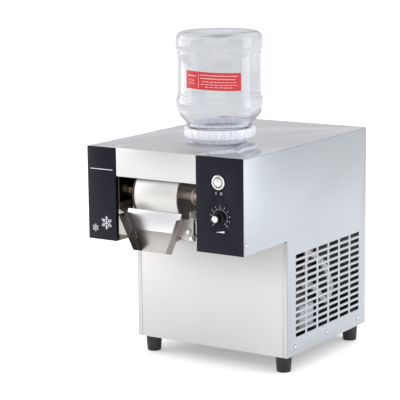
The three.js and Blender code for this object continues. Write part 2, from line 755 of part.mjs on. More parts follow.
function fan() {
  const x = -45;
  const z = 124;
  const frame = extrude("y", rectangle(-128, 38, 44, 204), [circle(x, z, 66, 48)], 352, 373.5);
  const hub = ring("y", 24.5, 29, 326, 340, 32, x, 0, z);
  const strut = (angle) => {
    const arm = box(27, 72, 330, 334, -3, 3);
    const leg = box(69, 74, 330, 354, -3, 3);
    return join(arm, leg).applyMatrix4(new THREE.Matrix4().makeRotationY(angle)).translate(x, 0, z);
  };
  const arms = [Math.PI / 4, (3 * Math.PI) / 4, (5 * Math.PI) / 4, (7 * Math.PI) / 4].map(strut);
  place("fan_shroud", join(frame, hub, ...arms), DARK_PAINT);
  const motor = rod("y", 24, 318, 348, 32, x, 0, z);
  const spindle = rod("y", 3, 347, 355, 12, x, 0, z);
  place("fan_motor", join(motor, spindle), STEEL);
  const centre = ring("y", 3.4, 17, 352, 366, 24, x, 0, z);
  const blades = [];
  for (let i = 0; i < 5; i++) {
    const blade = new THREE.BoxGeometry(46, 1.6, 34);
    blade.rotateX((28 * Math.PI) / 180);
    blade.translate(39, 359, 0);
    blade.rotateY((2 * Math.PI * i) / 5);
    blade.translate(x, 0, z);
    blades.push(blade);
  }
  const rim = ring("y", 0, 63.5, 340, 380, 40, x, 0, z);
  const wheel = solid(join(centre, ...blades)).intersect(solid(rim));
  place("fan_blades", geometryOf(wheel), ALUMINIUM);
}

function refrigerantLines() {
  const drier = [
    [0, 92],
    [3.4, 92],
    [3.4, 98],
    [10, 106],
    [10, 150],
    [3.4, 158],
    [3.4, 164],
    [0, 164],
  ];
  place("filter_drier", revolve("z", drier, 16, -105, 300, 0), COPPER);
  const discharge = [
    [72, 288.5, 120],
    [72, 300, 120],
    [78, 330, 150],
    [78, 358, 180],
    [68, 378, 190],
    [58, 384, 190],
    [49.7, 384, 190],
  ];
  place("discharge_line", tube(discharge, 3, 18, 8), COPPER);
  const liquid = [
    [-105, 300, 164.3],
    [-105, 300, 176],
    [-112, 320, 200],
    [-128, 362, 218],
    [-136, 386, 220],
    [-136, 390, 216],
    [-136, 390, 208.8],
  ];
  place("liquid_line", tube(liquid, 3, 18, 8), COPPER);
  const suction = [
    [122.6, 240, 130],
    [132, 240, 132],
    [134, 262, 120],
    [133, 300, 92],
    [133, 318, 110],
    [132, 290, 160],
    [126, 230, 196],
    [120, 200, 215],
    [120, 200, 250],
    [120, 194, 330],
    [118, 150, 355],
    [114, 90, 358],
    [112, 52, 350],
    [112, 45, 336],
    [112, 45, 323.6],
  ];
  place("suction_line", tube(suction, 5, 36, 8), WHITE);
}

// Electrics

function controlBoard() {
  const board = box(-135, -45, 260, 340, 238, 239.6);
  const parts = [];
  for (const x of [-130, -50]) {
    for (const y of [265, 335]) parts.push(rod("z", 3, OVERHANG_Z + SHEET + 2 * GAP, 239, 10, x, y, 0));
  }
  const transformer = box(-126, -96, 280, 310, 239, 264);
  const relay = box(-84, -66, 276, 304, 239, 255);
  const terminals = box(-90, -54, 318, 330, 239, 251);
  place("control_board", join(board, ...parts, transformer, relay, terminals), BOARD);
}

function powerInlet() {
  const flange = box(86, 126, DEPTH + GAP, DEPTH + INLET_REACH, 47, 75);
  const body = box(92.5, 119.5, 396, DEPTH + 2, 50.5, 71.5);
  const well = box(95, 117, 402, DEPTH + INLET_REACH + 1, 53, 69);
  const shell = cut(join(flange, body), well);
  const pins = [99, 106, 113].map((x) => box(x - 1, x + 1, 400, 414, 59, 63));
  place("power_inlet", join(shell, ...pins), BLACK);
}

// Push button: bezel with a threaded barrel, spring-loaded cap, contact block behind.
function pushButton() {
  const bezel = [
    [7.4, -1.6],
    [8.4, -2.6],
    [10.6, -2.8],
    [12, -1.8],
    [12, -GAP],
    [9.2, -GAP],
    [9.2, 20],
    [7.4, 20],
  ];
  place("button_bezel", revolve("y", bezel, 28, BUTTON_X, 0, BUTTON_Z), STEEL);
  const cap = [
    [0, -3.6],
    [5.6, -3.4],
    [6.8, -2.6],
    [7.1, -1.6],
    [7.1, 6],
    [0, 6],
  ];
  place("button_cap", revolve("y", cap, 24, BUTTON_X, 0, BUTTON_Z), STEEL);
  const blockProfile = [[0, 11], [7, 11], [7, 20.5], [11, 20.5], [11, 38], [0, 38]];
  place("switch_body", revolve("y", blockProfile, 16, BUTTON_X, 0, BUTTON_Z), BLACK);
}

function speedKnob() {
  const skirt = [
    [3.3, -1],
    [8, -1],
    [8, -3],
    [7.2, -4],
    [6.6, -14.6],
    [6, -15.2],
    [3.3, -15.2],
  ];
  const body = revolve("y", skirt, 24, KNOB_X, 0, KNOB_Z);
  const flutes = [];
  for (let i = 0; i < 10; i++) {
    const angle = (2 * Math.PI * i) / 10;
    const x = KNOB_X + 7.2 * Math.cos(angle);
    const z = KNOB_Z + 7.2 * Math.sin(angle);
    flutes.push(rod("y", 1.1, -20, -4.4, 6, x, 0, z));
  }
  place("speed_knob", cut(body, ...flutes), BLACK);
  const cap = [[0, -17], [4.6, -16.8], [5.3, -16.2], [5.3, -15.5], [0, -15.5]];
  place("knob_cap", revolve("y", cap, 20, KNOB_X, 0, KNOB_Z), POLISHED);
  const pot = [
    [0, -12],
    [3, -12],
    [3, -0.8],
    [3.8, -0.8],
    [3.8, 3],
    [10.5, 3],
    [10.5, 14],
    [0, 14],
  ];
  place("potentiometer", revolve("y", pot, 16, KNOB_X, 0, KNOB_Z), STEEL);
}

// Bottle, standing on its neck, and its ribbed cap

function bottle() {
  const outside = [
    [50, 393.4],
    [50, 409],
    [70, 434],
    [72, 458],
    [68.6, 466],
    [68.6, 528],
    [72, 538],
    [72, 549],
    [57, BOTTLE_TOP],
    [0, BOTTLE_TOP - BOTTLE_DISH],
  ];
  const walledDown = BOTTLE_TOP - BOTTLE_DISH - 1;
  const inside = outside.map(([r, z]) => {
    const inset = Math.max(r - BOTTLE_WALL, 0);
    return [inset, z > walledDown ? z - BOTTLE_WALL : z];
  });
  const profile = [...outside, ...inside.reverse()];
  const points = polygon(profile);
  points.push(points[0].clone());
  const geometry = new THREE.LatheGeometry(points, 20);
  geometry.rotateX(Math.PI / 2);
  place("bottle", geometry.translate(BOTTLE_X, BOTTLE_Y, 0), CLEAR);
}

function bottleCap() {
  const body = [
    [8, TOP + 8],
    [57, TOP + 8],
    [59, TOP + 10],
    [59, TOP + 24.5],
    [51, TOP + 24.5],
    [51, TOP + 11],
    [8, TOP + 11],
  ];
  const parts = [revolve("z", body, 40, BOTTLE_X, BOTTLE_Y, 0)];
  const spout = ring("z", 8, 11, TOP - 8, TOP + 10, 40, BOTTLE_X, BOTTLE_Y, 0);
  parts.push(spout);
  const ribs = 30;
  for (let i = 0; i < ribs; i++) {
    const rib = box(58.5, 60, -1.2, 1.2, TOP + 10.5, TOP + 24);
    rib.rotateZ((2 * Math.PI * i) / ribs);
    parts.push(rib.translate(BOTTLE_X, BOTTLE_Y, 0));
  }
  place("bottle_cap", join(...parts), CLEAR);
}

function foot(name, x, y) {
  const profile = [[0, 0], [11, 0], [12, 1], [14, FOOT_HEIGHT], [0, FOOT_HEIGHT]];
  place(name, revolve("z", profile, 24, x, y, 0), RUBBER);
}

basePlate();
sidePanel("side_panel_right", 1);
sidePanel("side_panel_left", -1);
topPanel();
rearPanel();
lowerFrontPanel();
deckPlate();
overhangFloor();
bayLiner();
fasciaLeft();
fasciaRight();
drumCover();
drumShell();
drumEndLeft();
drumEndRight();
drumShaft();
drumGear();
motorPinion();
bearingHousing("left", BAY_LEFT, -1, [[6.5, 13]]);
bearingHousing("right", BAY_RIGHT, 1, [[4, 24], [18, 13]]);
rotaryUnion();
drumMotor();
scraperBlade();
bladeHolder();
snowChute();
SCREW_SPOTS.forEach(chuteScrew);
waterTray();
bottleSeat();
feedCup();
feedValve();
feedTube();
compressor();
condenser();
fan();
refrigerantLines();
controlBoard();
powerInlet();
pushButton();
speedKnob();
bottle();
bottleCap();
foot("foot_front_left", -131.4, 158);
foot("foot_front_right", 131.4, 158);
foot("foot_rear_left", -131.4, 393);
foot("foot_rear_right", 131.4, 393);

export default machine;
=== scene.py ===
# Looks of the countertop shaved ice machine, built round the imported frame. Sizes are in millimetres, counted
# from the middle of the machine, the front face of its housing and the floor, and become metres in at().
import json
import math

import bmesh
import bpy
from mathutils import Matrix, Vector


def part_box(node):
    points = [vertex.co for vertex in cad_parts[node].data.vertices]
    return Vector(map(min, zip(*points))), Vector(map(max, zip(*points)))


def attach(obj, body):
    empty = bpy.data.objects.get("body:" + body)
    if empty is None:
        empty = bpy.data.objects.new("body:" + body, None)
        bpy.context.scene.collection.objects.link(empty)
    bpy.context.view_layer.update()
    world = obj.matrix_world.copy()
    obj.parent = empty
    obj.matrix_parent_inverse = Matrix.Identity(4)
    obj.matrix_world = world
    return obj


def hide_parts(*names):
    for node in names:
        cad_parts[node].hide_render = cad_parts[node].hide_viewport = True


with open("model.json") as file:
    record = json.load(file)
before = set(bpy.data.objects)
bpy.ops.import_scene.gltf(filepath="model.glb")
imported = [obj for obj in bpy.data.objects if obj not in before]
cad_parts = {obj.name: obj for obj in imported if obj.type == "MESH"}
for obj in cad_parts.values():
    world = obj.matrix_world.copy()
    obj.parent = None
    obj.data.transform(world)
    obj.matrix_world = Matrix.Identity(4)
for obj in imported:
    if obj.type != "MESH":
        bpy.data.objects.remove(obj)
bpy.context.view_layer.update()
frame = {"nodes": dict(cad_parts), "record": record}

MM = 0.001
RECORD = frame["record"]
BODY_OF = {node: body for body, nodes in RECORD["behaviour"]["bodies"].items() for node in nodes}


def corners(node):
    """Lowest and highest corner of a CAD node in millimetres, with y counted from the front face."""
    low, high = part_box(node)
    shift = Vector((0, FRONT, 0))
    return low / MM - shift, high / MM - shift


# Read once with no shift, because corners() counts y from it
FRONT = 0.0
FRONT = corners("fascia_left")[0].y

# Main sizes, read from the frame
TOP_LOW, TOP_HIGH = corners("top_panel")
HALF = TOP_HIGH.x
DEPTH = TOP_HIGH.y
TOP = TOP_HIGH.z
SHEET = TOP_HIGH.z - TOP_LOW.z
FRONT_LOW, FRONT_HIGH = corners("lower_front_panel")
CABINET_Y = FRONT_LOW.y
OVERHANG_Z = FRONT_HIGH.z
COVER_LOW, COVER_HIGH = corners("drum_cover")
LINER_LOW, LINER_HIGH = corners("bay_liner")
DRUM_LOW, DRUM_HIGH = corners("drum_shell")
DRUM_R = (DRUM_HIGH.z - DRUM_LOW.z) / 2
DRUM_Y = (DRUM_LOW.y + DRUM_HIGH.y) / 2
DRUM_Z = (DRUM_LOW.z + DRUM_HIGH.z) / 2
DRUM_AXIS = (0, DRUM_Y, DRUM_Z)

# The drum's shaft, the disc on it and the bolts of its left cap
SHAFT_R = 7.5
SLINGER_X = 33
SLINGER_THICK = 3
CAP_BOLTS = 6
CAP_BOLT_CIRCLE = 38
CAP_BOLT_HEAD = 2.8

BOTTLE_LOW, BOTTLE_HIGH = corners("bottle")
BOTTLE_X = (BOTTLE_LOW.x + BOTTLE_HIGH.x) / 2
BOTTLE_Y = (BOTTLE_LOW.y + BOTTLE_HIGH.y) / 2
BOTTLE_AXIS = (BOTTLE_X, BOTTLE_Y, 0)
BUTTON_LOW, BUTTON_HIGH = corners("button_bezel")
BUTTON_X = (BUTTON_LOW.x + BUTTON_HIGH.x) / 2
BUTTON_Z = (BUTTON_LOW.z + BUTTON_HIGH.z) / 2
KNOB_LOW, KNOB_HIGH = corners("speed_knob")
KNOB_X = (KNOB_LOW.x + KNOB_HIGH.x) / 2
KNOB_Z = (KNOB_LOW.z + KNOB_HIGH.z) / 2

# Vent slots: one slot, the step to the next and where the first one starts
SLOT_LENGTH = 32.3
SLOT_HEIGHT = 6.4
SLOT_PITCH_Y = 38.5
SLOT_PITCH_Z = 11.15
SLOT_COLUMNS = 6
SLOT_ROWS = 13
SLOT_FIRST_Y = 166.4
SLOT_LOW_Z = 58.85
SLOT_ROUND = 1.0

# The number marks sweep clockwise from DIAL_START, in degrees
DIAL_START = 225
DIAL_SWEEP = -270
DIAL_STEPS = 20

# Camera: lens in millimetres, then its bearing, height angle and roll in degrees
LENS = 147.4
CAMERA_TURN = (33.05, 10.43, -0.6)
CAMERA_PLACE = (1459.6, -2135.2, 779.9)


# Camera, lights and stage


def at(x, y, z):
    return Vector((x, y + FRONT, z)) * MM


def placed(name, data):
    """A new object in the scene."""
    obj = bpy.data.objects.new(name, data)
    bpy.context.scene.collection.objects.link(obj)
    return obj


def camera():
    data = bpy.data.cameras.new("camera")
    data.sensor_width = 36
    data.lens = LENS
    data.clip_end = 20
    obj = placed("camera", data)
    azimuth, elevation, roll = (math.radians(turn) for turn in CAMERA_TURN)
    level = math.cos(elevation)
    back = Vector((math.sin(azimuth) * level, -math.cos(azimuth) * level, math.sin(elevation)))
    right = Vector((0, 0, 1)).cross(back).normalized()
    up = back.cross(right)
    turned_right = right * math.cos(roll) + up * math.sin(roll)
    turned_up = up * math.cos(roll) - right * math.sin(roll)
    rows = zip(turned_right, turned_up, back, at(*CAMERA_PLACE))
    obj.matrix_world = Matrix([*rows, (0, 0, 0, 1)])
    bpy.context.scene.camera = obj


def area_light(name, place, target, size, power, colour=(1, 1, 1)):
    data = bpy.data.lights.new(name, "AREA")
    data.shape = "RECTANGLE"
    data.size, data.size_y = size
    data.energy = power
    data.color = colour
    obj = placed(name, data)
    obj.location = place
    obj.rotation_euler = (Vector(target) - Vector(place)).to_track_quat("-Z", "Y").to_euler()


def studio():
    """A white room: a grey band above the horizon, a bright cove, a grey ceiling, and four soft boxes."""
    world = bpy.data.worlds.new("studio")
    world.use_nodes = True
    nodes, links = world.node_tree.nodes, world.node_tree.links
    around = nodes.new("ShaderNodeTexCoord")
    height = nodes.new("ShaderNodeSeparateXYZ")
    ramp = nodes.new("ShaderNodeValToRGB")
    links.new(around.outputs["Generated"], height.inputs["Vector"])
    shift = nodes.new("ShaderNodeMapRange")
    shift.inputs["From Min"].default_value = -0.2
    shift.inputs["From Max"].default_value = 1
    links.new(height.outputs["Z"], shift.inputs["Value"])
    links.new(shift.outputs["Result"], ramp.inputs["Fac"])
    stops = ramp.color_ramp.elements
    stops[0].position, stops[0].color = 0.15, (1, 1, 1, 1)
    stops[1].position, stops[1].color = 0.75, (1, 1, 1, 1)
    for position, shade in ((0.22, 0.62), (0.42, 0.60), (0.94, 0.5)):
        stop = stops.new(position)
        stop.color = (shade, shade, shade * 1.02, 1)
    sky = nodes["Background"]
    links.new(ramp.outputs["Color"], sky.inputs["Color"])
    sky.inputs["Strength"].default_value = 1.1
    bpy.context.scene.world = world
    bpy.context.scene.view_settings.view_transform = "Standard"
    middle = (0, 0, 0.3)
    area_light("left_box", (-1.93, -0.52, 0.9), middle, (2.0, 1.5), 20, (1, 0.985, 0.96))
    area_light("right_box", (1.88, 0.68, 0.9), middle, (1.0, 1.9), 13, (0.96, 0.98, 1))
    area_light("front_box", (0.9, -2.3, 1.2), middle, (2.6, 1.8), 16)
    area_light("top_box", (0.1, 0.4, 3.0), middle, (3.2, 3.2), 17)


def floor():
    mesh = bpy.data.meshes.new("floor")
    grid = bmesh.new()
    bmesh.ops.create_grid(grid, x_segments=8, y_segments=8, size=6.0)
    grid.to_mesh(mesh)
    grid.free()
    obj = placed("floor", mesh)
    kit = Shader("floor_paper", Roughness=0.6, Emission_Color=(1, 1, 1, 1), Emission_Strength=0.26)
    grain = kit.noise(90, detail=3)
    kit.colour(grain, (0.95, 0.95, 0.95), (0.97, 0.97, 0.97))
    mesh.materials.append(kit.material)


# Materials


class Shader:
    """A material with one Principled shader and short calls for the textures that drive it."""

    def __init__(self, name, **values):
        self.material = bpy.data.materials.new(name)
        self.material.use_nodes = True
        self.nodes = self.material.node_tree.nodes
        self.links = self.material.node_tree.links
        self.bsdf = self.nodes["Principled BSDF"]
        self.set(self.bsdf, values)

    def set(self, node, values):
        for socket, value in values.items():
            node.inputs[socket.replace("_", " ")].default_value = value
        return node

    def new(self, kind, **values):
        return self.set(self.nodes.new("ShaderNode" + kind), values)

    def noise(self, scale, stretch=(1, 1, 1), detail=2.0, rough=0.5):
        place = self.new("TexCoord")
        mapping = self.new("Mapping", Scale=stretch)
        texture = self.new("TexNoise", Scale=scale, Detail=detail, Roughness=rough)
        self.links.new(place.outputs["Object"], mapping.inputs["Vector"])
        self.links.new(mapping.outputs["Vector"], texture.inputs["Vector"])
        return texture.outputs["Fac"]

    def spread(self, value, low, high):
        """Stretches the middle of a noise's range over low to high."""
        node = self.new("MapRange", From_Min=0.3, From_Max=0.7, To_Min=low, To_Max=high)
        self.links.new(value, node.inputs["Value"])
        return node.outputs["Result"]

    def colour(self, value, dark, light):
        node = self.new("Mix")
        node.data_type = "RGBA"
        node.inputs["A"].default_value = (*dark, 1)
        node.inputs["B"].default_value = (*light, 1)
        self.links.new(self.spread(value, 0, 1), node.inputs["Factor"])
        self.links.new(node.outputs["Result"], self.bsdf.inputs["Base Color"])

    def roughness(self, value, low, high):
        self.links.new(self.spread(value, low, high), self.bsdf.inputs["Roughness"])

    def bump(self, value, strength, distance):
        node = self.new("Bump", Strength=strength, Distance=distance)
        self.links.new(value, node.inputs["Height"])
        self.links.new(node.outputs["Normal"], self.bsdf.inputs["Normal"])


# Brush marks: how fine the grain is across them and along them
FINE = 1500
ALONG = 12


def brushed(name, direction, dark, light, rough_low, rough_high, bump):
    stretch = tuple(ALONG / FINE if axis == direction else 1 for axis in "xyz")
    kit = Shader(name, Metallic=1.0)
    grain = kit.noise(FINE, stretch, detail=2.5, rough=0.6)
    kit.roughness(grain, rough_low, rough_high)
    kit.bump(grain, bump, 0.00002)
    cloud = kit.noise(7, detail=3)
    kit.colour(cloud, dark, light)
    return kit.material


def mirror(name, dark, light, rough_low, rough_high):
    """Bright-rolled metal with faint streaks along x; the darker copies carry a painted reflection of a dim
    room and painted shade in their colour.
    """
    kit = Shader(name, Metallic=1.0)
    streak = kit.noise(260, (0.05, 1, 1), detail=4)
    kit.roughness(streak, rough_low, rough_high)
    kit.colour(streak, dark, light)
    kit.bump(kit.noise(900, (0.02, 1, 1)), 0.03, 0.00001)
    return kit.material


def grained(name, dark, light, grain, rough, bump, cloud, cloud_detail=2.0, **values):
    """Fine grain, given as scale, detail and stretch, sets gloss and bumps; clouds set the colour."""
    kit = Shader(name, **values)
    scale, detail, *stretch = grain
    fine = kit.noise(scale, *stretch, detail=detail)
    kit.roughness(fine, *rough)
    kit.bump(fine, *bump)
    kit.colour(kit.noise(cloud, detail=cloud_detail), dark, light)
    return kit.material


def shaft_steel():
    """Dull turned steel with rings round its axis."""
    dark, light = (0.86, 0.74, 0.66), (0.95, 0.84, 0.76)
    grain = (900, 3, (1, 0.03, 0.03))
    return grained("shaft_steel", dark, light, grain, (0.26, 0.36), (0.05, 0.00003), 30, Metallic=0.45)


def ground_blade():
    dark, light = (0.74, 0.74, 0.76), (0.80, 0.80, 0.82)
    grain = (1800, 2, (1, 0.02, 0.02))
    return grained("ground_blade", dark, light, grain, (0.28, 0.38), (0.06, 0.00002), 12, Metallic=1.0)


def black_fascia():
    dark, light = (0.003, 0.0035, 0.010), (0.004, 0.0045, 0.012)
    bump = (0.01, 0.00002)
    return grained("black_fascia", dark, light, (420, 2), (0.34, 0.40), bump, 9, Specular_IOR_Level=0.2)


def print_ink():
    kit = Shader("print_ink")
    kit.roughness(kit.noise(600), 0.4, 0.55)
    kit.colour(kit.noise(900), (0.60, 0.61, 0.64), (0.70, 0.71, 0.74))
    return kit.material


def white_drum():
    kit = Shader("drum_coating", Metallic=0.6)
    turning = kit.noise(1500, (1, 0.03, 0.03), detail=2)
    kit.roughness(turning, 0.36, 0.44)
    kit.bump(turning, 0.06, 0.00003)
    kit.colour(kit.noise(30, (0.3, 1, 1), detail=3), (0.58, 0.575, 0.555), (0.62, 0.615, 0.60))
    return kit.material


def rubber():
    dark, light = (0.012, 0.012, 0.013), (0.022, 0.022, 0.024)
    bump = (0.25, 0.00005)
    return grained("rubber", dark, light, (1400, 4), (0.45, 0.62), bump, 60, Specular_IOR_Level=0.35)


def moulded(name, dark, light, rough=(0.35, 0.5)):
    return grained(name, dark, light, (1100, 3), rough, (0.15, 0.00004), 40)


def clear_bottle():
    """Thin clear plastic; its shadows let most of the light through, as a thin wall does."""
    kit = Shader("clear_pet", Transmission_Weight=1.0, IOR=1.42, Base_Color=(0.76, 0.77, 0.79, 1))
    flow = kit.noise(22, (1, 1, 0.35), detail=2)
    kit.roughness(flow, 0.01, 0.05)
    kit.bump(flow, 0.12, 0.0006)
    path = kit.new("LightPath")
    through = kit.new("BsdfTransparent", Color=(0.9, 0.9, 0.91, 1))
    both = kit.new("MixShader")
    kit.links.new(path.outputs["Is Shadow Ray"], both.inputs["Fac"])
    kit.links.new(kit.bsdf.outputs["BSDF"], both.inputs[1])
    kit.links.new(through.outputs["BSDF"], both.inputs[2])
    kit.links.new(both.outputs["Shader"], kit.nodes["Material Output"].inputs["Surface"])
    return kit.material


def frosted():
    """Milky plastic; its faint light stands for what passes through a thin wall."""
    kit = Shader("frosted_cap", Transmission_Weight=0.3, IOR=1.45, Subsurface_Weight=0.4)
    glow = {"Subsurface_Scale": 0.02, "Emission_Color": (0.86, 0.88, 1, 1), "Emission_Strength": 0.1}
    kit.set(kit.bsdf, glow)
    kit.roughness(kit.noise(60, detail=2), 0.14, 0.22)
    kit.colour(kit.noise(330, (1, 1, 0.04)), (0.66, 0.67, 0.73), (0.93, 0.935, 0.965))
    kit.bump(kit.noise(120), 0.02, 0.00002)
    return kit.material


def label_paper(name, dark, light):
    kit = Shader(name)
    kit.roughness(kit.noise(300), 0.32, 0.44)
    kit.colour(kit.noise(120), dark, light)
    kit.bump(kit.noise(700, detail=3), 0.08, 0.00003)
    return kit.material


def enamel(name, dark, light):
    coat = {"Coat_Weight": 0.3, "Coat_Roughness": 0.15}
    return grained(name, dark, light, (260, 2), (0.28, 0.4), (0.12, 0.00008), 20, **coat)


def metal(name, dark, light, rough, scale=300):
    return grained(name, dark, light, (scale, 4), rough, (0.08, 0.00003), 35, 3, Metallic=1.0)


def foam():
    dark, light = (0.74, 0.75, 0.74), (0.86, 0.86, 0.85)
    return grained("pipe_foam", dark, light, (900, 4), (0.7, 0.9), (0.4, 0.0002), 60)


def materials():
    """Every material by the key that the pieces ask for it with."""
    brushed_steels = {
        # One stainless steel in a copy for each face of the housing, each copy's colour set to how bright that
        # face looks: painted light and shade, lightest on the top, then the cover and the front, darkest on
        # the sides.
        "side": ("side_stainless", "y", (0.445, 0.477, 0.502), (0.465, 0.497, 0.522), 0.28, 0.33, 0.02),
        "front": ("front_stainless", "x", (0.56, 0.555, 0.545), (0.585, 0.58, 0.57), 0.28, 0.33, 0.02),
        "top": ("top_stainless", "y", (0.67, 0.70, 0.73), (0.70, 0.73, 0.76), 0.12, 0.17, 0.02),
        "cover": ("cover_stainless", "x", (0.585, 0.585, 0.59), (0.61, 0.61, 0.615), 0.38, 0.42, 0.01),
        # The chute's steel in three copies: painted shade, the back plate lightest, the right fin darker and
        # the left fin near black among the mirrors below.
        "chute": ("chute_stainless", "x", (0.41, 0.39, 0.37), (0.465, 0.44, 0.42), 0.3, 0.36, 0.02),
        "chute_shaded_fin": ("chute_shaded_fin", "z", (0.31, 0.295, 0.28), (0.35, 0.335, 0.315), 0.3, 0.36, 0.02),
    }
    mirrors = {
        "polished_stainless": ((0.55, 0.53, 0.50), (0.66, 0.64, 0.61), 0.1, 0.18),
        # dark_mirror: the bay's steel painted dark brown, painted shade and painted reflection of the dim bay.
        "dark_mirror": ((0.16, 0.125, 0.095), (0.33, 0.27, 0.22), 0.12, 0.22),
        "bronze_mirror": ((0.62, 0.555, 0.50), (0.78, 0.71, 0.65), 0.12, 0.2),
        # The left fin's copy of the chute steel, painted near black: painted shade.
        "chute_fin": ((0.042, 0.036, 0.031), (0.068, 0.058, 0.051), 0.16, 0.24),
    }
    metals = {
        "screw": ((0.42, 0.43, 0.44), (0.52, 0.53, 0.54), (0.14, 0.24), 500),
        "brass": ((0.60, 0.45, 0.21), (0.72, 0.57, 0.30), (0.24, 0.4)),
        "copper": ((0.34, 0.20, 0.13), (0.48, 0.30, 0.21), (0.3, 0.45)),
        # The condenser's aluminium fins are painted dark: painted shade of the deep fin block.
        "fins": ((0.24, 0.25, 0.26), (0.34, 0.35, 0.36), (0.4, 0.55)),
        # The dark zinc for the plates deep inside the cabinet is painted shade.
        "shaded_zinc": ((0.20, 0.205, 0.21), (0.30, 0.305, 0.31), (0.4, 0.55), 120),
        "aluminium": ((0.70, 0.71, 0.72), (0.82, 0.83, 0.84), (0.3, 0.45)),
        "zinc": ((0.55, 0.56, 0.57), (0.70, 0.71, 0.72), (0.3, 0.45), 120),
        "button_metal": ((0.66, 0.66, 0.665), (0.74, 0.74, 0.745), (0.2, 0.32), 900),
    }
    plastics = {
        "black_plastic": ((0.013, 0.013, 0.014), (0.022, 0.022, 0.024)),
        "white_plastic": ((0.78, 0.79, 0.79), (0.86, 0.87, 0.87)),
        "relay_cover": ((0.58, 0.63, 0.67), (0.72, 0.77, 0.80)),
        "knob_black": ((0.003, 0.003, 0.003), (0.006, 0.006, 0.006), (0.14, 0.2)),
        "circuit_board": ((0.02, 0.11, 0.05), (0.03, 0.16, 0.07), (0.3, 0.45)),
    }
    made = {key: brushed(*row) for key, row in brushed_steels.items()}
    for maker, rows in ((mirror, mirrors), (metal, metals), (moulded, plastics)):
        made |= {key: maker(key, *row) for key, row in rows.items()}
    return made | {
        "blade_steel": ground_blade(),
        "shaft_steel": shaft_steel(),
        "black_panel": black_fascia(),
        "ink": print_ink(),
        "drum_coating": white_drum(),
        "rubber": rubber(),
        "black_paint": enamel("black_paint", (0.012, 0.012, 0.014), (0.02, 0.02, 0.023)),
        "clear_bottle": clear_bottle(),
        "frosted_cap": frosted(),
        "red_label": label_paper("red_label", (0.46, 0.014, 0.024), (0.55, 0.022, 0.034)),
        "label_bars": label_paper("label_bars", (0.78, 0.50, 0.48), (0.86, 0.60, 0.57)),
        "foam": foam(),
    }


# Mesh makers; every mesh is written in place, so its object stays at the origin


def link(name, mesh, smooth_angle=32):
    for face in mesh.polygons:
        face.use_smooth = True
    mesh.set_sharp_from_angle(angle=math.radians(smooth_angle))
    return placed(name, mesh)


def from_bmesh(name, shape, smooth_angle=32):
    bmesh.ops.recalc_face_normals(shape, faces=shape.faces)
    mesh = bpy.data.meshes.new(name)
    shape.to_mesh(mesh)
    shape.free()
    return link(name, mesh, smooth_angle)


def merged(name, objects):
    """Several pieces as one mesh."""
    shape = bmesh.new()
    for obj in objects:
        shape.from_mesh(obj.data)
        bpy.data.objects.remove(obj)
    mesh = bpy.data.meshes.new(name)
    shape.to_mesh(mesh)
    shape.free()
    return placed(name, mesh)


def evaluated(obj):
    """The mesh that an object's curve or modifiers make."""
    bpy.context.view_layer.update()
    return bpy.data.meshes.new_from_object(obj.evaluated_get(bpy.context.evaluated_depsgraph_get()))


def soften(shape, edge):
    bmesh.ops.bevel(
        shape, geom=shape.edges[:], offset=edge * MM, segments=2, affect="EDGES", profile=0.5
    )


def slab(name, x0, x1, y0, y1, z0, z1, edge=0.4):
    shape = bmesh.new()
    bmesh.ops.create_cube(shape, size=1)
    for vertex in shape.verts:
        x = x1 if vertex.co.x > 0 else x0
        y = y1 if vertex.co.y > 0 else y0
        z = z1 if vertex.co.z > 0 else z0
        vertex.co = at(x, y, z)
    soften(shape, edge)
    return from_bmesh(name, shape)


def rectangle(u0, u1, v0, v1):
    return [(u0, v0), (u1, v0), (u1, v1), (u0, v1)]


def rounded(u0, u1, v0, v1, radius):
    """A rectangle with rounded corners."""
    points, steps = [], 3
    spots = ((u1 - radius, v0 + radius, -90), (u1 - radius, v1 - radius, 0))
    spots += ((u0 + radius, v1 - radius, 90), (u0 + radius, v0 + radius, 180))
    for u, v, start in spots:
        for i in range(steps + 1):
            turn = math.radians(start + 90 * i / steps)
            points.append((u + radius * math.cos(turn), v + radius * math.sin(turn)))
    return points


def circle(u, v, radius, sides=48):
    turns = [2 * math.pi * i / sides for i in range(sides)]
    return [(u + radius * math.cos(t), v + radius * math.sin(t)) for t in turns]


PLACES = {
    "x": lambda u, v, w: at(w, u, v),
    "y": lambda u, v, w: at(u, w, v),
    "z": lambda u, v, w: at(u, v, w),
}


def sheet(name, axis, outline, holes, low, high, edge=0.25):
    """A flat outline with holes, pushed from low to high along an axis, with softened edges."""
    curve = bpy.data.curves.new(name, "CURVE")
    curve.dimensions = "2D"
    curve.fill_mode = "BOTH"
    for loop in [outline, *holes]:
        spline = curve.splines.new("POLY")
        spline.points.add(len(loop) - 1)
        for point, (u, v) in zip(spline.points, loop):
            point.co = (u, v, 0, 1)
        spline.use_cyclic_u = True
    curve.extrude = (high - low) / 2 - edge
    curve.bevel_depth = edge
    curve.bevel_resolution = 1
    curve.offset = -edge
    holder = placed(name, curve)
    mesh = evaluated(holder)
    bpy.data.objects.remove(holder)
    bpy.data.curves.remove(curve)
    shape = bmesh.new()
    shape.from_mesh(mesh)
    bpy.data.meshes.remove(mesh)
    bmesh.ops.remove_doubles(shape, verts=shape.verts, dist=0.002)
    for vertex in shape.verts:
        u, v, w = vertex.co
        vertex.co = PLACES[axis](u, v, w + (low + high) / 2)
    return from_bmesh(name, shape)


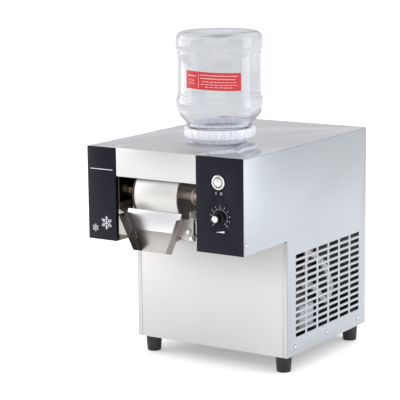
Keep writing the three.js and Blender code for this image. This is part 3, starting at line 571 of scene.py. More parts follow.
def lathe(name, axis, profile, centre, sides=96, smooth_angle=32, closed=False):
    """A profile of (radius, height) turned about an axis through a centre."""
    shape = bmesh.new()
    rings = []
    for radius, height in profile:
        ring = []
        for i in range(1 if radius < 1e-6 else sides):
            turn = 2 * math.pi * i / sides
            u, v = radius * math.cos(turn), radius * math.sin(turn)
            offset = {"x": (height, u, v), "y": (u, height, v), "z": (u, v, height)}[axis]
            ring.append(shape.verts.new(at(*(a + b for a, b in zip(centre, offset)))))
        rings.append(ring)
    pairs = list(zip(rings, rings[1:]))
    if closed:
        pairs.append((rings[-1], rings[0]))
    for low, high in pairs:
        for i in range(sides):
            quad = [
                low[i % len(low)],
                low[(i + 1) % len(low)],
                high[(i + 1) % len(high)],
                high[i % len(high)],
            ]
            corners_once = list(dict.fromkeys(quad))
            if len(corners_once) > 2:
                shape.faces.new(corners_once)
    return from_bmesh(name, shape, smooth_angle)


def looped(name, loops, smooth_angle):
    """Rings of points joined one to the next, and the last to the first."""
    shape = bmesh.new()
    rings = [[shape.verts.new(point) for point in loop] for loop in loops]
    for low, high in zip(rings, rings[1:] + rings[:1]):
        for i in range(len(low)):
            j = (i + 1) % len(low)
            shape.faces.new((low[i], low[j], high[j], high[i]))
    return from_bmesh(name, shape, smooth_angle)


def ring(name, axis, inner, outer, low, high, centre, sides=96, edge=0.4):
    profile = [(inner, low + edge), (inner + edge, low), (outer - edge, low), (outer, low + edge)]
    profile += [(outer, high - edge), (outer - edge, high), (inner + edge, high), (inner, high - edge)]
    return lathe(name, axis, profile, centre, sides, closed=True)


def rod(name, axis, radius, low, high, centre, sides=64, edge=0.5):
    profile = [(0, low), (radius - edge, low), (radius, low + edge), (radius, high - edge)]
    profile += [(radius - edge, high), (0, high)]
    return lathe(name, axis, profile, centre, sides)


def dress(obj, material):
    obj.data.materials.clear()
    obj.data.materials.append(MATERIALS[material])
    return obj


def stand_in(obj, material, node, *more):
    """A finished piece that shows in place of a CAD node and moves with its body."""
    dress(obj, material)
    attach(obj, BODY_OF[node])
    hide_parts(node, *more)
    return obj


def extra(obj, material, body):
    """A piece that has no CAD node of its own."""
    dress(obj, material)
    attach(obj, body)
    return obj


# Housing


def vent_slots(first, columns):
    holes = []
    for column in range(columns):
        u = first + column * SLOT_PITCH_Y
        for row in range(SLOT_ROWS):
            v = SLOT_LOW_Z + row * SLOT_PITCH_Z
            holes.append(rounded(u, u + SLOT_LENGTH, v, v + SLOT_HEIGHT, SLOT_ROUND))
    return holes


def side_panel(name, side):
    low, high = corners(name)
    outline = [(CABINET_Y, low.z), (DEPTH, low.z), (DEPTH, high.z), (low.y, high.z)]
    outline += [(low.y, OVERHANG_Z), (CABINET_Y, OVERHANG_Z)]
    x0, x1 = sorted((side * HALF, side * (HALF - SHEET)))
    wall = sheet(name + "_wall", "x", outline, vent_slots(SLOT_FIRST_Y, SLOT_COLUMNS), x0, x1, 0.35)
    lip0, lip1 = sorted((side * (HALF - 0.1), side * (HALF - 8)))
    lip = slab(name + "_lip", lip0, lip1, CABINET_Y, CABINET_Y + SHEET, low.z, OVERHANG_Z - 3, 0.3)
    stand_in(wall, "side", name)
    extra(lip, "front", "housing")


def top_panel():
    low, high = corners("top_panel")
    gap = 0.3
    left, right, back = COVER_LOW.x - gap, COVER_HIGH.x + gap, COVER_HIGH.y + gap
    outline = [(-HALF, low.y), (left, low.y), (left, back), (right, back), (right, low.y)]
    outline += [(HALF, low.y), (HALF, DEPTH), (-HALF, DEPTH)]
    hole = circle(BOTTLE_X, BOTTLE_Y, 38, 64)
    stand_in(sheet("top_sheet", "z", outline, [hole], low.z, high.z, 0.45), "top", "top_panel")


def rear_panel():
    low, high = corners("rear_panel")
    inlet = rounded(92, 120, 50, 72, 1)
    vents = vent_slots(-119, 4)
    outline = rectangle(low.x, high.x, low.z, high.z)
    back = sheet("rear_sheet", "y", outline, [*vents, inlet], low.y, high.y, 0.3)
    stand_in(back, "side", "rear_panel")


def lower_front():
    low, high = FRONT_LOW, FRONT_HIGH
    panel = slab("lower_front_sheet", low.x, high.x, low.y, high.y, low.z, high.z, 0.35)
    stand_in(panel, "front", "lower_front_panel")


def overhang_floor():
    low, high = corners("overhang_floor")
    left, back, front = LINER_LOW.x - 1, LINER_HIGH.y - SHEET, 8.3
    outline = [(low.x, low.y), (left, low.y), (left, back), (LINER_HIGH.x, back)]
    outline += [(LINER_HIGH.x, front), (high.x, front), (high.x, high.y), (low.x, high.y)]
    stand_in(sheet("overhang_sheet", "z", outline, [], low.z, high.z), "front", "overhang_floor")


def bay_liner():
    """The bay's two walls and its back, with holes for the shaft and the feed tube."""
    low, high = LINER_LOW, LINER_HIGH
    left = slab("liner_left", low.x, low.x + SHEET, low.y, high.y, low.z, high.z, 0.3)
    shaft = circle(DRUM_Y, DRUM_Z, 10.5, 32)
    side = rectangle(low.y, high.y, low.z, high.z)
    right = sheet("liner_right", "x", side, [shaft], high.x - SHEET, high.x, 0.3)
    outline = rectangle(low.x + 0.2, high.x - 0.2, low.z, high.z)
    tube = circle(corners("feed_tube")[1].x - 4, 300, 7, 32)
    back = sheet("liner_back", "y", outline, [tube], high.y - SHEET, high.y, 0.3)
    # The liner's dark brown steel is painted shade of the bay.
    stand_in(merged("liner", [left, right, back]), "dark_mirror", "bay_liner")


def drum_cover():
    low, high = COVER_LOW, COVER_HIGH
    bend = 1.6
    outline = [(5, low.z), (5, low.z + SHEET), (SHEET, low.z + SHEET), (SHEET, high.z - SHEET - 0.5)]
    outline += [(SHEET + 0.5, high.z - SHEET), (high.y, high.z - SHEET), (high.y, high.z)]
    for i in range(6):
        turn = math.radians(90 + 90 * i / 5)
        outline.append((bend + bend * math.cos(turn), high.z - bend + bend * math.sin(turn)))
    outline += [(0, low.z + 0.8), (0.25, low.z + 0.25), (0.8, low.z)]
    stand_in(sheet("cover_sheet", "x", outline, [], low.x, high.x, 0.3), "cover", "drum_cover")


def fascia(name, side):
    low, high = corners(name)
    edge = high.x if side < 0 else low.x
    inward = -1 if side < 0 else 1
    holes = []
    if side > 0:
        holes = [circle(BUTTON_X, BUTTON_Z, 9.6), circle(KNOB_X, KNOB_Z, 4.2, 32)]
    x0, x1 = sorted((edge, side * HALF))
    face = sheet(name + "_face", "y", rectangle(x0, x1, low.z, high.z), holes, 0, 2, 0.35)
    e0, e1 = sorted((edge, edge + inward * 1.2))
    turn = slab(name + "_turn", e0, e1, 1.5, 8, low.z + 1.6, high.z - 1.6, 0.3)
    stand_in(merged(name + "_panel", [face, turn]), "black_panel", name)


# Printed marks on the fascias: a generic snowflake, dial, push symbols


def printed(name, outlines, holes=()):
    marks = []
    for i, line in enumerate(outlines):
        marks.append(sheet(name + str(i), "y", line, holes, -0.06, 0.04, 0.01))
    extra(merged(name, marks), "ink", "housing")


def snowflake(cx, cz, radius):
    width = radius * 0.045
    half = [(width, width * 1.8)]
    for along, length in ((0.38, 0.30), (0.66, 0.24)):
        base, reach = along * radius, length * radius
        lean = math.radians(55)
        tip = (width + reach * math.sin(lean), base + reach * math.cos(lean))
        half += [(width, base), tip, (tip[0] - width * 0.8, tip[1] + width * 1.5)]
        half.append((width, base + width * 2.6))
    half.append((width, radius))
    arm = half + [(-u, v) for u, v in reversed(half)]
    outline = []
    for i in range(6):
        turn = -math.pi * i / 3
        cos, sin = math.cos(turn), math.sin(turn)
        outline += [(cx + u * cos - v * sin, cz + u * sin + v * cos) for u, v in reversed(arm)]
    return outline


def dial_marks():
    ticks = []
    for i in range(DIAL_STEPS + 1):
        turn = math.radians(DIAL_START + DIAL_SWEEP * i / DIAL_STEPS)
        inner, outer = (12.6, 15.2) if i % 2 == 0 else (12.6, 14.2)
        thick = 0.28 if i % 2 == 0 else 0.18
        along = Vector((math.cos(turn), math.sin(turn)))
        across = Vector((-along.y, along.x)) * thick
        centre = Vector((KNOB_X, KNOB_Z))
        inner_mid, outer_mid = centre + along * inner, centre + along * outer
        tick = (inner_mid - across, outer_mid - across, outer_mid + across, inner_mid + across)
        ticks.append([tuple(p) for p in tick])
    printed("dial_ticks", ticks)


def dial_numbers():
    """The numbers 0 to 10 round the knob."""
    for i in range(11):
        turn = math.radians(DIAL_START + DIAL_SWEEP * i / 10)
        text = bpy.data.curves.new("number", "FONT")
        text.body = str(i)
        text.size = 3.4
        text.align_x, text.align_y = "CENTER", "CENTER"
        text.extrude = 0.03
        holder = placed("number", text)
        mesh = evaluated(holder)
        bpy.data.objects.remove(holder)
        bpy.data.curves.remove(text)
        for vertex in mesh.vertices:
            u, v, w = vertex.co
            x = KNOB_X + 18 * math.cos(turn) + u
            z = KNOB_Z + 18 * math.sin(turn) + v
            vertex.co = at(x, -0.03 - w, z)
        mesh.flip_normals()
        extra(link("dial_number_" + str(i), mesh), "ink", "housing")


def push_symbols():
    """The on and off signs below the button and a rising wedge below the dial."""
    z = BUTTON_Z - 17.5
    bar = rectangle(BUTTON_X - 5.4, BUTTON_X - 4.6, z - 2, z + 2)
    printed("on_sign", [bar])
    printed("off_sign", [circle(BUTTON_X + 4.6, z, 2.1, 32)], [circle(BUTTON_X + 4.6, z, 1.5, 32)])
    left, right, low = KNOB_X - 8, KNOB_X + 8, KNOB_Z - 24
    printed("speed_wedge", [[(left, low - 0.2), (right, low - 0.2), (right, low + 3)]])


def fascia_prints():
    printed("snowflake_big", [snowflake(-113.6, 256, 11.4)])
    printed("snowflake_small", [snowflake(-136.4, 246, 6.6)])
    printed("plain_line", [rounded(-145, -100, 344.4, 345.6, 0.55)])
    dial_marks()
    dial_numbers()
    push_symbols()


# Fasteners

SCREW_PLACES = ("left_upper", "left_lower", "right_upper", "right_lower")


def cross_screw(name, axis, place, out, radius, material="screw"):
    """A domed screw head whose recess is cut as two crossed grooves."""
    height = radius * 0.5
    profile = [(0, height), (radius * 0.34, height * 0.96), (radius * 0.66, height * 0.78)]
    profile += [(radius * 0.9, height * 0.42), (radius, height * 0.1), (radius, -0.2), (0, -0.2)]
    if out < 0:
        profile = [(r, -h) for r, h in profile]
    head = lathe(name, axis, profile, place, 32, 50)
    reach, half = radius * 0.55, radius * 0.11
    depth = height * 0.5
    for long_axis in (0, 1):
        spans = [(-reach, reach), (-half, half)] if long_axis == 0 else [(-half, half), (-reach, reach)]
        low, high = sorted((out * (height - depth), out * (height + 1)))
        order = {"x": (0, 1, 2), "y": (1, 0, 2), "z": (2, 0, 1)}[axis]
        box_spans = [None] * 3
        box_spans[order[0]] = (low, high)
        box_spans[order[1]], box_spans[order[2]] = spans
        bounds = [b + c for (lo, hi), c in zip(box_spans, place) for b in (lo, hi)]
        cutter = slab("cutter", *bounds, 0.05)
        boolean = head.modifiers.new("recess", "BOOLEAN")
        boolean.operation = "DIFFERENCE"
        boolean.solver = "EXACT"
        boolean.object = cutter
        mesh = evaluated(head)
        head.modifiers.clear()
        head.data = mesh
        bpy.data.objects.remove(cutter)
    extra(head, material, "housing")
    # The thin black ring round each head is a painted contact shadow.
    shadow_ring_low, shadow_ring_high = sorted((-out * 0.05, out * 0.12))
    seat = ring(name + "_seat", axis, radius * 0.9, radius * 1.2, shadow_ring_low, shadow_ring_high, place, 32, 0.04)
    extra(seat, "black_plastic", "housing")


def panel_screws():
    spots = [(8, 244), (164.5, 42.7), (275, 42.7), (387, 42.7)]
    for side, word in ((1, "right"), (-1, "left")):
        for i, (y, z) in enumerate(spots):
            name = "side_screw_" + word + "_" + str(i)
            cross_screw(name, "x", (side * HALF, y, z), side, 3.4, "button_metal")
    for i, (x, y) in enumerate(((-111, 19), (74, 19))):
        cross_screw("top_screw_" + str(i), "z", (x, y, TOP), 1, 3.3)
    rear = [(x, z) for x in (-140, 0, 140) for z in (40, 368)]
    for i, (x, z) in enumerate(rear):
        cross_screw("rear_screw_" + str(i), "y", (x, DEPTH, z), 1, 3.1)
    inner = ((LINER_LOW.x + SHEET, 1), (LINER_HIGH.x - SHEET, -1))
    for i, (x, out) in enumerate(inner):
        cross_screw("bay_screw_" + str(i), "x", (x, 12, 265.5), out, 2.6, "zinc")


def thumb_screw(node):
    low, high = corners(node)
    x, z = (low.x + high.x) / 2, (low.z + high.z) / 2
    profile = [(0, -5), (2.4, -4.9), (3.6, -4.4), (4.2, -3.6), (4.4, -2.4), (4.4, 0.9), (4.0, 1.4)]
    profile += [(1.9, 1.4), (1.9, high.y - 0.3), (1.6, high.y), (0, high.y)]
    stand_in(lathe(node + "_turned", "y", profile, (x, 0, z), 40, 40), "button_metal", node)


# Drum and scraper


def drum():
    x0, x1 = DRUM_LOW.x, DRUM_HIGH.x
    edge = 0.8
    inner = DRUM_R - 3
    profile = [(inner, x0 + 0.3), (inner + 0.3, x0), (DRUM_R - edge, x0), (DRUM_R - 0.25, x0 + 0.25)]
    profile += [(DRUM_R, x0 + edge), (DRUM_R, x1 - edge), (DRUM_R - 0.25, x1 - 0.25)]
    profile += [(DRUM_R - edge, x1), (inner + 0.3, x1), (inner, x1 - 0.3)]
    skin = lathe("drum_skin", "x", profile, DRUM_AXIS, 160, closed=True)
    stand_in(skin, "drum_coating", "drum_shell")


def drum_shaft():
    """The shaft with the disc that throws off drips."""
    low, high = corners("drum_shaft")
    edge, rim = 0.8, (high.z - low.z) / 2
    near, far = SLINGER_X, SLINGER_X + SLINGER_THICK
    profile = [(0, low.x), (SHAFT_R - edge, low.x), (SHAFT_R, low.x + edge), (SHAFT_R, near)]
    profile += [(rim - 0.4, near), (rim, near + 0.4), (rim, far - 0.4), (rim - 0.4, far), (SHAFT_R, far)]
    profile += [(SHAFT_R, high.x - edge), (SHAFT_R - edge, high.x), (0, high.x)]
    stand_in(lathe("drum_shaft_turned", "x", profile, DRUM_AXIS), "shaft_steel", "drum_shaft")


def bearing_housing(node, side, steps, material="polished_stainless"):
    """A stepped boss off the bay wall; each step gives its reach and radius, the widest first."""
    wall = corners(node)[1 if side > 0 else 0].x
    bore, pocket, edge = 8.1, 10.8, 0.5
    profile = [(pocket, wall)]
    start = wall
    for reach, radius in steps:
        end = wall - side * (reach - 0.3)
        profile += [(radius, start), (radius, end + side * edge), (radius - edge, end)]
        start = end
    floor_x = wall - side * 5.3
    profile += [(bore + edge, end), (bore, end + side * edge), (bore, floor_x), (pocket, floor_x)]
    piece = lathe(node + "_turned", "x", profile, DRUM_AXIS, 96, closed=True)
    stand_in(piece, material, node)


def drum_cap():
    """The dark cap bolted on the drum's left end."""
    low = corners("drum_end_left")[0].x
    face, back, spigot = low + CAP_BOLT_HEAD, DRUM_LOW.x - 0.3, DRUM_R - 3.3
    profile = [(7.8, face + 0.3), (8.1, face), (DRUM_R - 1.3, face), (DRUM_R - 0.5, face + 0.8)]
    profile += [(DRUM_R - 0.5, back), (spigot, back), (spigot, DRUM_LOW.x + 5), (7.8, DRUM_LOW.x + 5)]
    pieces = [lathe("cap_plate", "x", profile, DRUM_AXIS, closed=True)]
    for i in range(CAP_BOLTS):
        turn = 2 * math.pi * (i + 0.2) / CAP_BOLTS
        y = DRUM_Y - CAP_BOLT_CIRCLE * math.cos(turn)
        z = DRUM_Z - CAP_BOLT_CIRCLE * math.sin(turn)
        pieces.append(rod("cap_bolt", "x", 2.8, low, face + 0.2, (0, y, z), 6, 0.4))
    stand_in(merged("drum_cap_bolted", pieces), "black_plastic", "drum_end_left")


def drum_plate():
    """The plate that closes the drum's recessed right end."""
    high = corners("drum_end_right")[1].x
    bore, hub, rim = 7.8, 13, DRUM_R - 3.3
    steps = [(bore, -16), (hub, -16), (hub, -6), (rim, -6), (rim, -2.3), (rim - 0.3, -2)]
    steps += [(hub + 1, -2), (hub + 0.3, -1.7), (hub, -0.5), (hub - 0.5, 0), (bore, 0)]
    profile = [(radius, high + reach) for radius, reach in steps]
    piece = lathe("drum_plate_turned", "x", profile, DRUM_AXIS, 96, closed=True)
    stand_in(piece, "bronze_mirror", "drum_end_right")


def blade():
    low, high = corners("scraper_blade")
    outline = [(low.y, low.z + 0.2), (low.y + 0.2, low.z), (high.y, low.z), (high.y, high.z)]
    outline += [(high.y - 0.25, high.z), (low.y, high.z - 4.5)]
    ground = sheet("blade_ground", "x", outline, [], low.x, high.x, 0.12)
    stand_in(ground, "blade_steel", "scraper_blade")


# The chute's half widths and the heights of its fins and ears
CHUTE_LOW, CHUTE_HIGH = corners("snow_chute")
CHUTE_X = (CHUTE_LOW.x + CHUTE_HIGH.x) / 2
CHUTE_TOP_HALF = 55.5
CHUTE_LOW_HALF = 28.5
FIN_TOP_Z = 278
FIN_LOW_Z = CHUTE_LOW.z
EAR_Y0 = 1.7
EAR_Y1 = 3.2
EAR_LOW_Z = 239


def chute_half(z):
    share = (z - FIN_LOW_Z) / (FIN_TOP_Z - FIN_LOW_Z)
    return CHUTE_LOW_HALF + share * (CHUTE_TOP_HALF - CHUTE_LOW_HALF)


def plate(name, face, shift):
    """A flat piece with softened edges between a face's corners and the same corners shifted."""
    shape = bmesh.new()
    rings = [[shape.verts.new(at(*(Vector(p) + Vector(s)))) for p in face] for s in ((0, 0, 0), shift)]
    shape.faces.new(rings[0])
    shape.faces.new(rings[1][::-1])
    for i in range(len(face)):
        j = (i + 1) % len(face)
        shape.faces.new((rings[0][i], rings[0][j], rings[1][j], rings[1][i]))
    soften(shape, 0.3)
    return from_bmesh(name, shape)


def chute_fin(side):
    reach = CHUTE_LOW.y
    outline = [(reach, FIN_TOP_Z), (EAR_Y1, FIN_TOP_Z), (EAR_Y1, FIN_LOW_Z), (-17, FIN_LOW_Z + 5)]
    face = [(CHUTE_X + side * chute_half(z), y, z) for y, z in outline]
    return plate("chute_fin", face, (side * SHEET, 0, 0))


def chute_ear(side):
    root = chute_half(EAR_LOW_Z)
    reach = (CHUTE_HIGH.x - CHUTE_LOW.x) / 2
    outline = [(root + 0.5, EAR_LOW_Z), (reach, EAR_LOW_Z), (reach, 281), (chute_half(274) + 0.5, 274)]
    relief = rectangle(root + 2, root + 5, EAR_LOW_Z + 0.6, EAR_LOW_Z + 8)
    loops = [[(CHUTE_X + side * u, v) for u, v in loop] for loop in (outline, relief)]
    return sheet("chute_ear", "y", loops[0], [loops[1]], EAR_Y0, EAR_Y1, 0.25)


def chute():
    top = chute_half(EAR_LOW_Z + 10.7)
    back = [(-top, 3.4, 249.7), (top, 3.4, 249.7), (CHUTE_LOW_HALF, 1.9, FIN_LOW_Z)]
    back.append((-CHUTE_LOW_HALF, 1.9, FIN_LOW_Z))
    back = [(CHUTE_X + x, y, z) for x, y, z in back]
    pieces = [plate("chute_back", back, (0, SHEET, 0)), chute_ear(-1), chute_ear(1)]
    stand_in(merged("chute_sheet", pieces), "chute", "snow_chute")
    # The fins take darker copies of the chute's steel than its back: painted shade, deepest on the left fin.
    extra(chute_fin(-1), "chute_fin", "chute")
    extra(chute_fin(1), "chute_shaded_fin", "chute")


def blade_holder():
    low, high = corners("blade_holder")
    holes = []
    for place in SCREW_PLACES:
        screw_low, screw_high = corners("chute_screw_" + place)
        holes.append(circle((screw_low.x + screw_high.x) / 2, (screw_low.z + screw_high.z) / 2, 2.4, 24))
    outline = rectangle(low.x, high.x, low.z, high.z)
    holder = sheet("holder_bar", "y", outline, holes, low.y, high.y, 0.3)
    stand_in(holder, "polished_stainless", "blade_holder")


# Controls


def push_button():
    """A turned bezel with a threaded barrel, and a domed cap in a dark gap."""
    centre = (BUTTON_X, 0, BUTTON_Z)
    bezel = [(8.2, -1.2), (8.3, -1.7), (8.45, -1.9), (8.6, -2.3), (9.0, -2.7), (9.8, -2.85)]
    bezel += [(10.8, -2.75), (11.6, -2.2), (12, -1.4), (12, -0.35), (9.2, -0.3), (9.2, 2.4)]
    for i in range(17):
        y = 2.6 + i
        bezel += [(9.2, y), (8.9, y + 0.5)]
    bezel += [(9.2, 20), (8.2, 20)]
    turned = lathe("bezel_turned", "y", bezel, centre, 96, closed=True)
    stand_in(turned, "button_metal", "button_bezel")
    gap = ring("button_gap", "y", 7.35, 8.15, -1.3, 12, centre, 80, 0.15)
    extra(gap, "black_plastic", "housing")
    cap = [(0, -3.5), (2.5, -3.52), (4.6, -3.45), (5.8, -3.2), (6.6, -2.7), (7.0, -2.0), (7.1, -1.2)]
    cap += [(7.1, 6), (0, 6)]
    stand_in(lathe("cap_turned", "y", cap, centre, 80, 60), "button_metal", "button_cap")


def knob():
    profile = [(8.0, -1.0), (8.0, -2.6), (7.7, -3.1), (7.1, -3.7), (6.9, -5), (6.6, -12), (6.45, -14.4)]
    profile += [(6.2, -14.9), (5.7, -15.2), (3.3, -15.2), (3.3, -1.0)]
    sides, flutes, flute_depth = 120, 20, 0.38
    loops = []
    for radius, y in profile:
        loop = []
        for i in range(sides):
            turn = 2 * math.pi * i / sides
            grooved = -14.7 < y < -3.8
            r = radius - (flute_depth * max(0, math.cos(flutes * turn)) if grooved else 0)
            loop.append(at(KNOB_X + r * math.cos(turn), y, KNOB_Z + r * math.sin(turn)))
        loops.append(loop)
    stand_in(looped("knob_fluted", loops, 40), "knob_black", "speed_knob")
    low, high = corners("knob_cap")
    cap = [(0, low.y + 0.1), (2.4, low.y), (4.4, low.y + 0.15), (5.1, low.y + 0.6), (5.3, high.y)]
    cap += [(0, high.y)]
    spun = lathe("knob_cap_spun", "y", cap, (KNOB_X, 0, KNOB_Z), 64, 45)
    stand_in(spun, "aluminium", "knob_cap")
    knob_mark(low.y)


def knob_mark(front):
    """The line on the knob's end that points at a number."""
    turn = math.radians(DIAL_START)
    inner, outer = (
        Vector((KNOB_X + r * math.cos(turn), KNOB_Z + r * math.sin(turn))) for r in (1.2, 4.4)
    )
    across = Vector((-math.sin(turn), math.cos(turn))) * 0.35
    line = (inner - across, outer - across, outer + across, inner + across)
    mark = sheet("knob_mark", "y", [tuple(p) for p in line], [], front - 0.05, front + 0.4, 0.02)
    extra(mark, "black_plastic", "knob")


# Bottle


def bottle():
    """A thin shell from the neck, up the shoulder and the ringed side, to the dished end."""
    top, neck, wall = BOTTLE_HIGH.z, 393.6, 0.9
    outside = [(50, neck), (50, 407), (50.6, 409), (53.5, 409.6), (55, 410.6), (55, 412.6), (55.6, 414.6)]
    outside += [(57.6, 417.4), (61, 421.4), (64.6, 425.6), (68, 430.4), (70.4, 435), (71.6, 439.4)]
    outside += [(72, 444), (72, 455), (71.6, 457.6), (70.2, 459.4), (69.3, 461), (69.9, 462.6)]
    outside += [(69.9, 464.4), (69, 466.2), (68.6, 468), (68.6, 527), (69, 529.4), (70.2, 530.8)]
    outside += [(70.2, 532.4), (69.2, 533.8), (69.4, 535), (71.2, 536.6), (72, 539), (72, 549)]
    outside += [(71.8, 553.4), (70.8, 557.8), (68.4, 561.6), (65, 564.4), (61, top - 0.3), (57.6, top)]
    outside += [(54, top - 0.4), (49, top - 2), (40, top - 5), (28, top - 8.4), (12, top - 10.8)]
    outside.append((0, top - 11.2))
    path = [Vector(p) for p in outside]
    inside = []
    for i, point in enumerate(path):
        before = path[max(i - 1, 0)]
        after = path[min(i + 1, len(path) - 1)]
        along = (after - before).normalized()
        inward = Vector((-along.y, along.x)) * wall
        r = max(point.x + inward.x, 0)
        inside.append((0 if point.x == 0 else r, point.y + inward.y))
    inside[0] = (50 - wall, neck)
    profile = outside + inside[::-1]
    shape = lathe("bottle_shell", "z", profile + [profile[0]], BOTTLE_AXIS, 144, 60)
    weld(shape)
    stand_in(shape, "clear_bottle", "bottle")


def weld(obj):
    """Joins the points that a closed profile leaves doubled on the axis and the seam."""
    shape = bmesh.new()
    shape.from_mesh(obj.data)
    bmesh.ops.remove_doubles(shape, verts=shape.verts, dist=0.00002)
    bmesh.ops.recalc_face_normals(shape, faces=shape.faces)
    shape.to_mesh(obj.data)
    shape.free()


def bottle_loop(radius, z, sides, swell):
    """Points round the bottle's axis; swell gives what each angle adds to the radius."""
    loop = []
    for i in range(sides):
        turn = 2 * math.pi * i / sides
        r = radius + swell(turn)
        loop.append(at(BOTTLE_X + r * math.cos(turn), BOTTLE_Y + r * math.sin(turn), z))
    return loop


def bottle_cap():
    """A cup with a ribbed rim, and the spout below it."""
    low, high, ribs = TOP + 8, TOP + 24.5, 60
    profile = [(8, low, 0), (54, low, 0), (57, low + 0.5, 0), (58.6, low + 1.8, 0), (59.1, low + 3.2, 0)]
    profile += [(59.1, low + 4, 0.85), (59.1, high - 3, 0.85), (59.1, high - 2.2, 0)]
    profile += [(58.9, high - 0.6, 0), (58.3, high, 0), (51.6, high, 0), (51.1, high - 0.5, 0)]
    profile += [(51.1, low + 3.2, 0), (8, low + 3.2, 0)]
    loops = []
    for radius, z, rib in profile:
        swell = lambda turn, rib=rib: rib * (0.5 + 0.5 * math.cos(ribs * turn)) ** 0.7
        loops.append(bottle_loop(radius, z, ribs * 6, swell))
    rim = looped("cap_rim", loops, 50)
    spout = ring("cap_spout", "z", 8, 11, TOP - 8, low + 0.1, BOTTLE_AXIS, 48, 0.4)
    stand_in(merged("cap_ribbed", [rim, spout]), "frosted_cap", "bottle_cap")


def neck_ring():
    """The ribbed collar of the neck, seen through the shoulder above the cap."""
    low, high, ribs = TOP + 25, TOP + 33, 48
    loops = []
    for radius, z, rib in ((46.2, low, 0), (47.4, low, 0.7), (47.4, high, 0.7), (46.2, high, 0)):
        swell = lambda turn, rib=rib: rib * math.cos(ribs * turn)
        loops.append(bottle_loop(radius, z, ribs * 6, swell))
    extra(looped("neck_ribs", loops, 50), "frosted_cap", "bottle")


def bottle_seat():
    profile = [(30, TOP - 12), (37.5, TOP - 12), (37.5, TOP + 0.3), (42.6, TOP + 0.3), (43.4, TOP + 0.9)]
    profile += [(44.2, TOP + 2.6), (45.2, TOP + 4.4), (46, TOP + 5.4), (45.6, TOP + 6), (31, TOP + 6)]
    profile.append((30, TOP + 5))
    seat = lathe("seat_ring", "z", profile, BOTTLE_AXIS, 96, 45, closed=True)
    stand_in(seat, "frosted_cap", "bottle_seat")


def patch(name, radius, start, end, low, high, thick, steps=40):
    """A rectangle of film wrapped on the bottle, between two angles in degrees from the front."""
    shape = bmesh.new()
    rings = []
    for r in (radius, radius + thick):
        for z in (low, high):
            line = []
            for i in range(steps + 1):
                turn = math.radians(start + (end - start) * i / steps)
                x, y = BOTTLE_X + r * math.sin(turn), BOTTLE_Y - r * math.cos(turn)
                line.append(shape.verts.new(at(x, y, z)))
            rings.append(line)
    order = (rings[0], rings[1], rings[3], rings[2])
    for first, second in zip(order, order[1:] + order[:1]):
        for i in range(steps):
            shape.faces.new((first[i], first[i + 1], second[i + 1], second[i]))
    for i in (0, steps):
        shape.faces.new([line[i] for line in order])
    return from_bmesh(name, shape, 40)


# How much the label falls for each unit to the right
LABEL_TILT = 0.05


def label():
    """A plain red label; pale bars stand where its writing is."""
    radius, middle, half = 68.65, 22, 41
    low, high = 476, 505
    film = patch("label_film", radius, middle - half, middle + half, low, high, 0.15)
    width, height = 2 * half, high - low
    # Start and end across the label, level up it, number of bars and their thickness
    rows = [(0.30, 0.94, 0.82, 15, 1.3), (0.30, 0.90, 0.64, 14, 1.3), (0.33, 0.93, 0.46, 9, 0.8)]
    rows += [(0.31, 0.95, 0.31, 8, 0.8), (0.38, 0.86, 0.17, 6, 0.8), (0.05, 0.22, 0.74, 5, 1.5)]
    rows += [(0.08, 0.19, 0.48, 2, 0.8), (0.06, 0.21, 0.31, 3, 0.8), (0.262, 0.268, 0.5, 1, height - 6)]
    bars = []
    for start, end, level, count, thick in rows:
        z = low + height * level
        step = (end - start) / count
        for i in range(count):
            first = middle - half + width * (start + step * i)
            last = first + width * step * (0.72 if count > 1 else 1)
            bars.append(patch("bar", radius + 0.15, first, last, z - thick / 2, z + thick / 2, 0.05, 3))
    marks = merged("label_marks", bars)
    for piece, material in ((film, "red_label"), (marks, "label_bars")):
        for vertex in piece.data.vertices:
            vertex.co.z -= LABEL_TILT * (vertex.co.x - BOTTLE_X * MM)
        extra(piece, material, "bottle")


# Feet


def foot(node):
    low, high = corners(node)
    x, y = (low.x + high.x) / 2, (low.y + high.y) / 2
    top = high.z
    profile = [(0, 0), (10.4, 0), (11.4, 0.4), (12, 1.4), (13.2, top * 0.62), (13.6, top * 0.9)]
    profile += [(13.8, top - 0.8), (13.4, top), (0, top)]
    stand_in(lathe(node + "_moulded", "z", profile, (x, y, 0), 72, 50), "rubber", node)


# Machinery seen through the slots


def condenser():
    """A block of fins between two headers, with the tubes that pass through them."""
    low, high = corners("condenser")
    parts = []
    fins, margin = 58, 8
    for i in range(fins):
        x = low.x + margin + (high.x - low.x - 2 * margin) * i / (fins - 1)
        parts.append(slab("fin", x - 0.15, x + 0.15, low.y + 2, high.y - 2, low.z + 14, high.z - 4, 0.02))
    for x0 in (low.x, high.x - 5):
        parts.append(slab("header", x0, x0 + 5, low.y, high.y, low.z + 10, high.z, 0.5))
    parts.append(slab("rail", low.x, high.x, low.y, high.y, low.z, low.z + 11.5, 0.5))
    # The fin block's dark colour is painted shade.
    stand_in(merged("condenser_core", parts), "fins", "condenser")
    passes = []
    for i in range(7):
        centre = (0, (low.y + high.y) / 2, low.z + 26 + i * 22)
        passes.append(rod("pass", "x", 3.2, low.x, high.x, centre, 16, 0.2))
    extra(merged("condenser_tubes", passes), "copper", "housing")


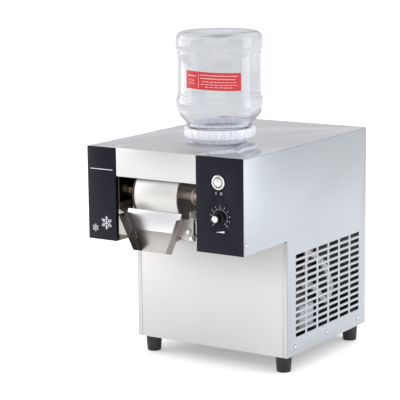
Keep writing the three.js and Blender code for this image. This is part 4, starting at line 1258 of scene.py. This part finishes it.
def compressor():
    """A welded can on a foot plate with four legs, its terminals and the start relay's cover."""
    body = [(0, 45), (34, 45.4), (41, 47.5), (45.5, 52), (47, 58), (47.6, 95), (47.8, 96)]
    body += [(49.6, 97), (50, 98.5), (50, 103.5), (49.6, 105), (47.4, 106), (47, 112), (46, 132)]
    body += [(42.5, 146), (36, 155), (26, 160.4), (12, 162), (0, 162)]
    pieces = [lathe("can", "z", body, (72, 240, 0), 96, 50)]
    pieces.append(slab("foot_plate", 22, 122, 200, 280, 40, 45, 1.2))
    pieces.append(slab("terminals", 6, 30, 222, 258, 84, 118, 2.5))
    for x in (30, 114):
        for y in (208, 272):
            pieces.append(rod("leg", "z", 7, 30.3, 40.5, (x, y, 0), 32, 1.5))
    stand_in(merged("compressor_can", pieces), "black_paint", "compressor")
    cover = slab("start_relay", 112, 131, 214, 262, 54, 98, 3)
    extra(cover, "relay_cover", "housing")


def machinery():
    """CAD nodes whose shape is right and that only take a material."""
    keep = {
        # The plates deep inside take the dark zinc: painted shade.
        "shaded_zinc": ("base_plate", "deck_plate"),
        "brass": ("drum_gear", "rotary_union"),
        "zinc": ("motor_pinion", "motor_bracket", "bearing_left", "bearing_right", "fan_motor")
        + ("potentiometer",),
        "black_paint": ("drum_motor",),
        "white_plastic": ("water_tray", "feed_cup"),
        "black_plastic": ("feed_valve", "fan_shroud", "power_inlet", "switch_body"),
        "frosted_cap": ("feed_tube",),
        "aluminium": ("fan_blades",),
        "copper": ("filter_drier", "discharge_line", "liquid_line"),
        "foam": ("suction_line",),
        "circuit_board": ("control_board",),
    }
    for material, nodes in keep.items():
        for node in nodes:
            dress(frame["nodes"][node], material)


camera()
studio()
floor()
MATERIALS = materials()
side_panel("side_panel_right", 1)
side_panel("side_panel_left", -1)
top_panel()
rear_panel()
lower_front()
overhang_floor()
bay_liner()
drum_cover()
fascia("fascia_left", -1)
fascia("fascia_right", 1)
fascia_prints()
panel_screws()
for place in SCREW_PLACES:
    thumb_screw("chute_screw_" + place)
drum()
drum_shaft()
drum_cap()
drum_plate()
# The left housing takes the dark steel and the right one the bright steel: the left one's colour is painted
# shade.
bearing_housing("bearing_housing_left", -1, [(6.5, 13)], "dark_mirror")
bearing_housing("bearing_housing_right", 1, [(4, 24), (18, 13)])
blade()
chute()
blade_holder()
push_button()
knob()
bottle()
bottle_cap()
neck_ring()
bottle_seat()
label()
for place in ("front_left", "front_right", "rear_left", "rear_right"):
    foot("foot_" + place)
condenser()
compressor()
machinery()
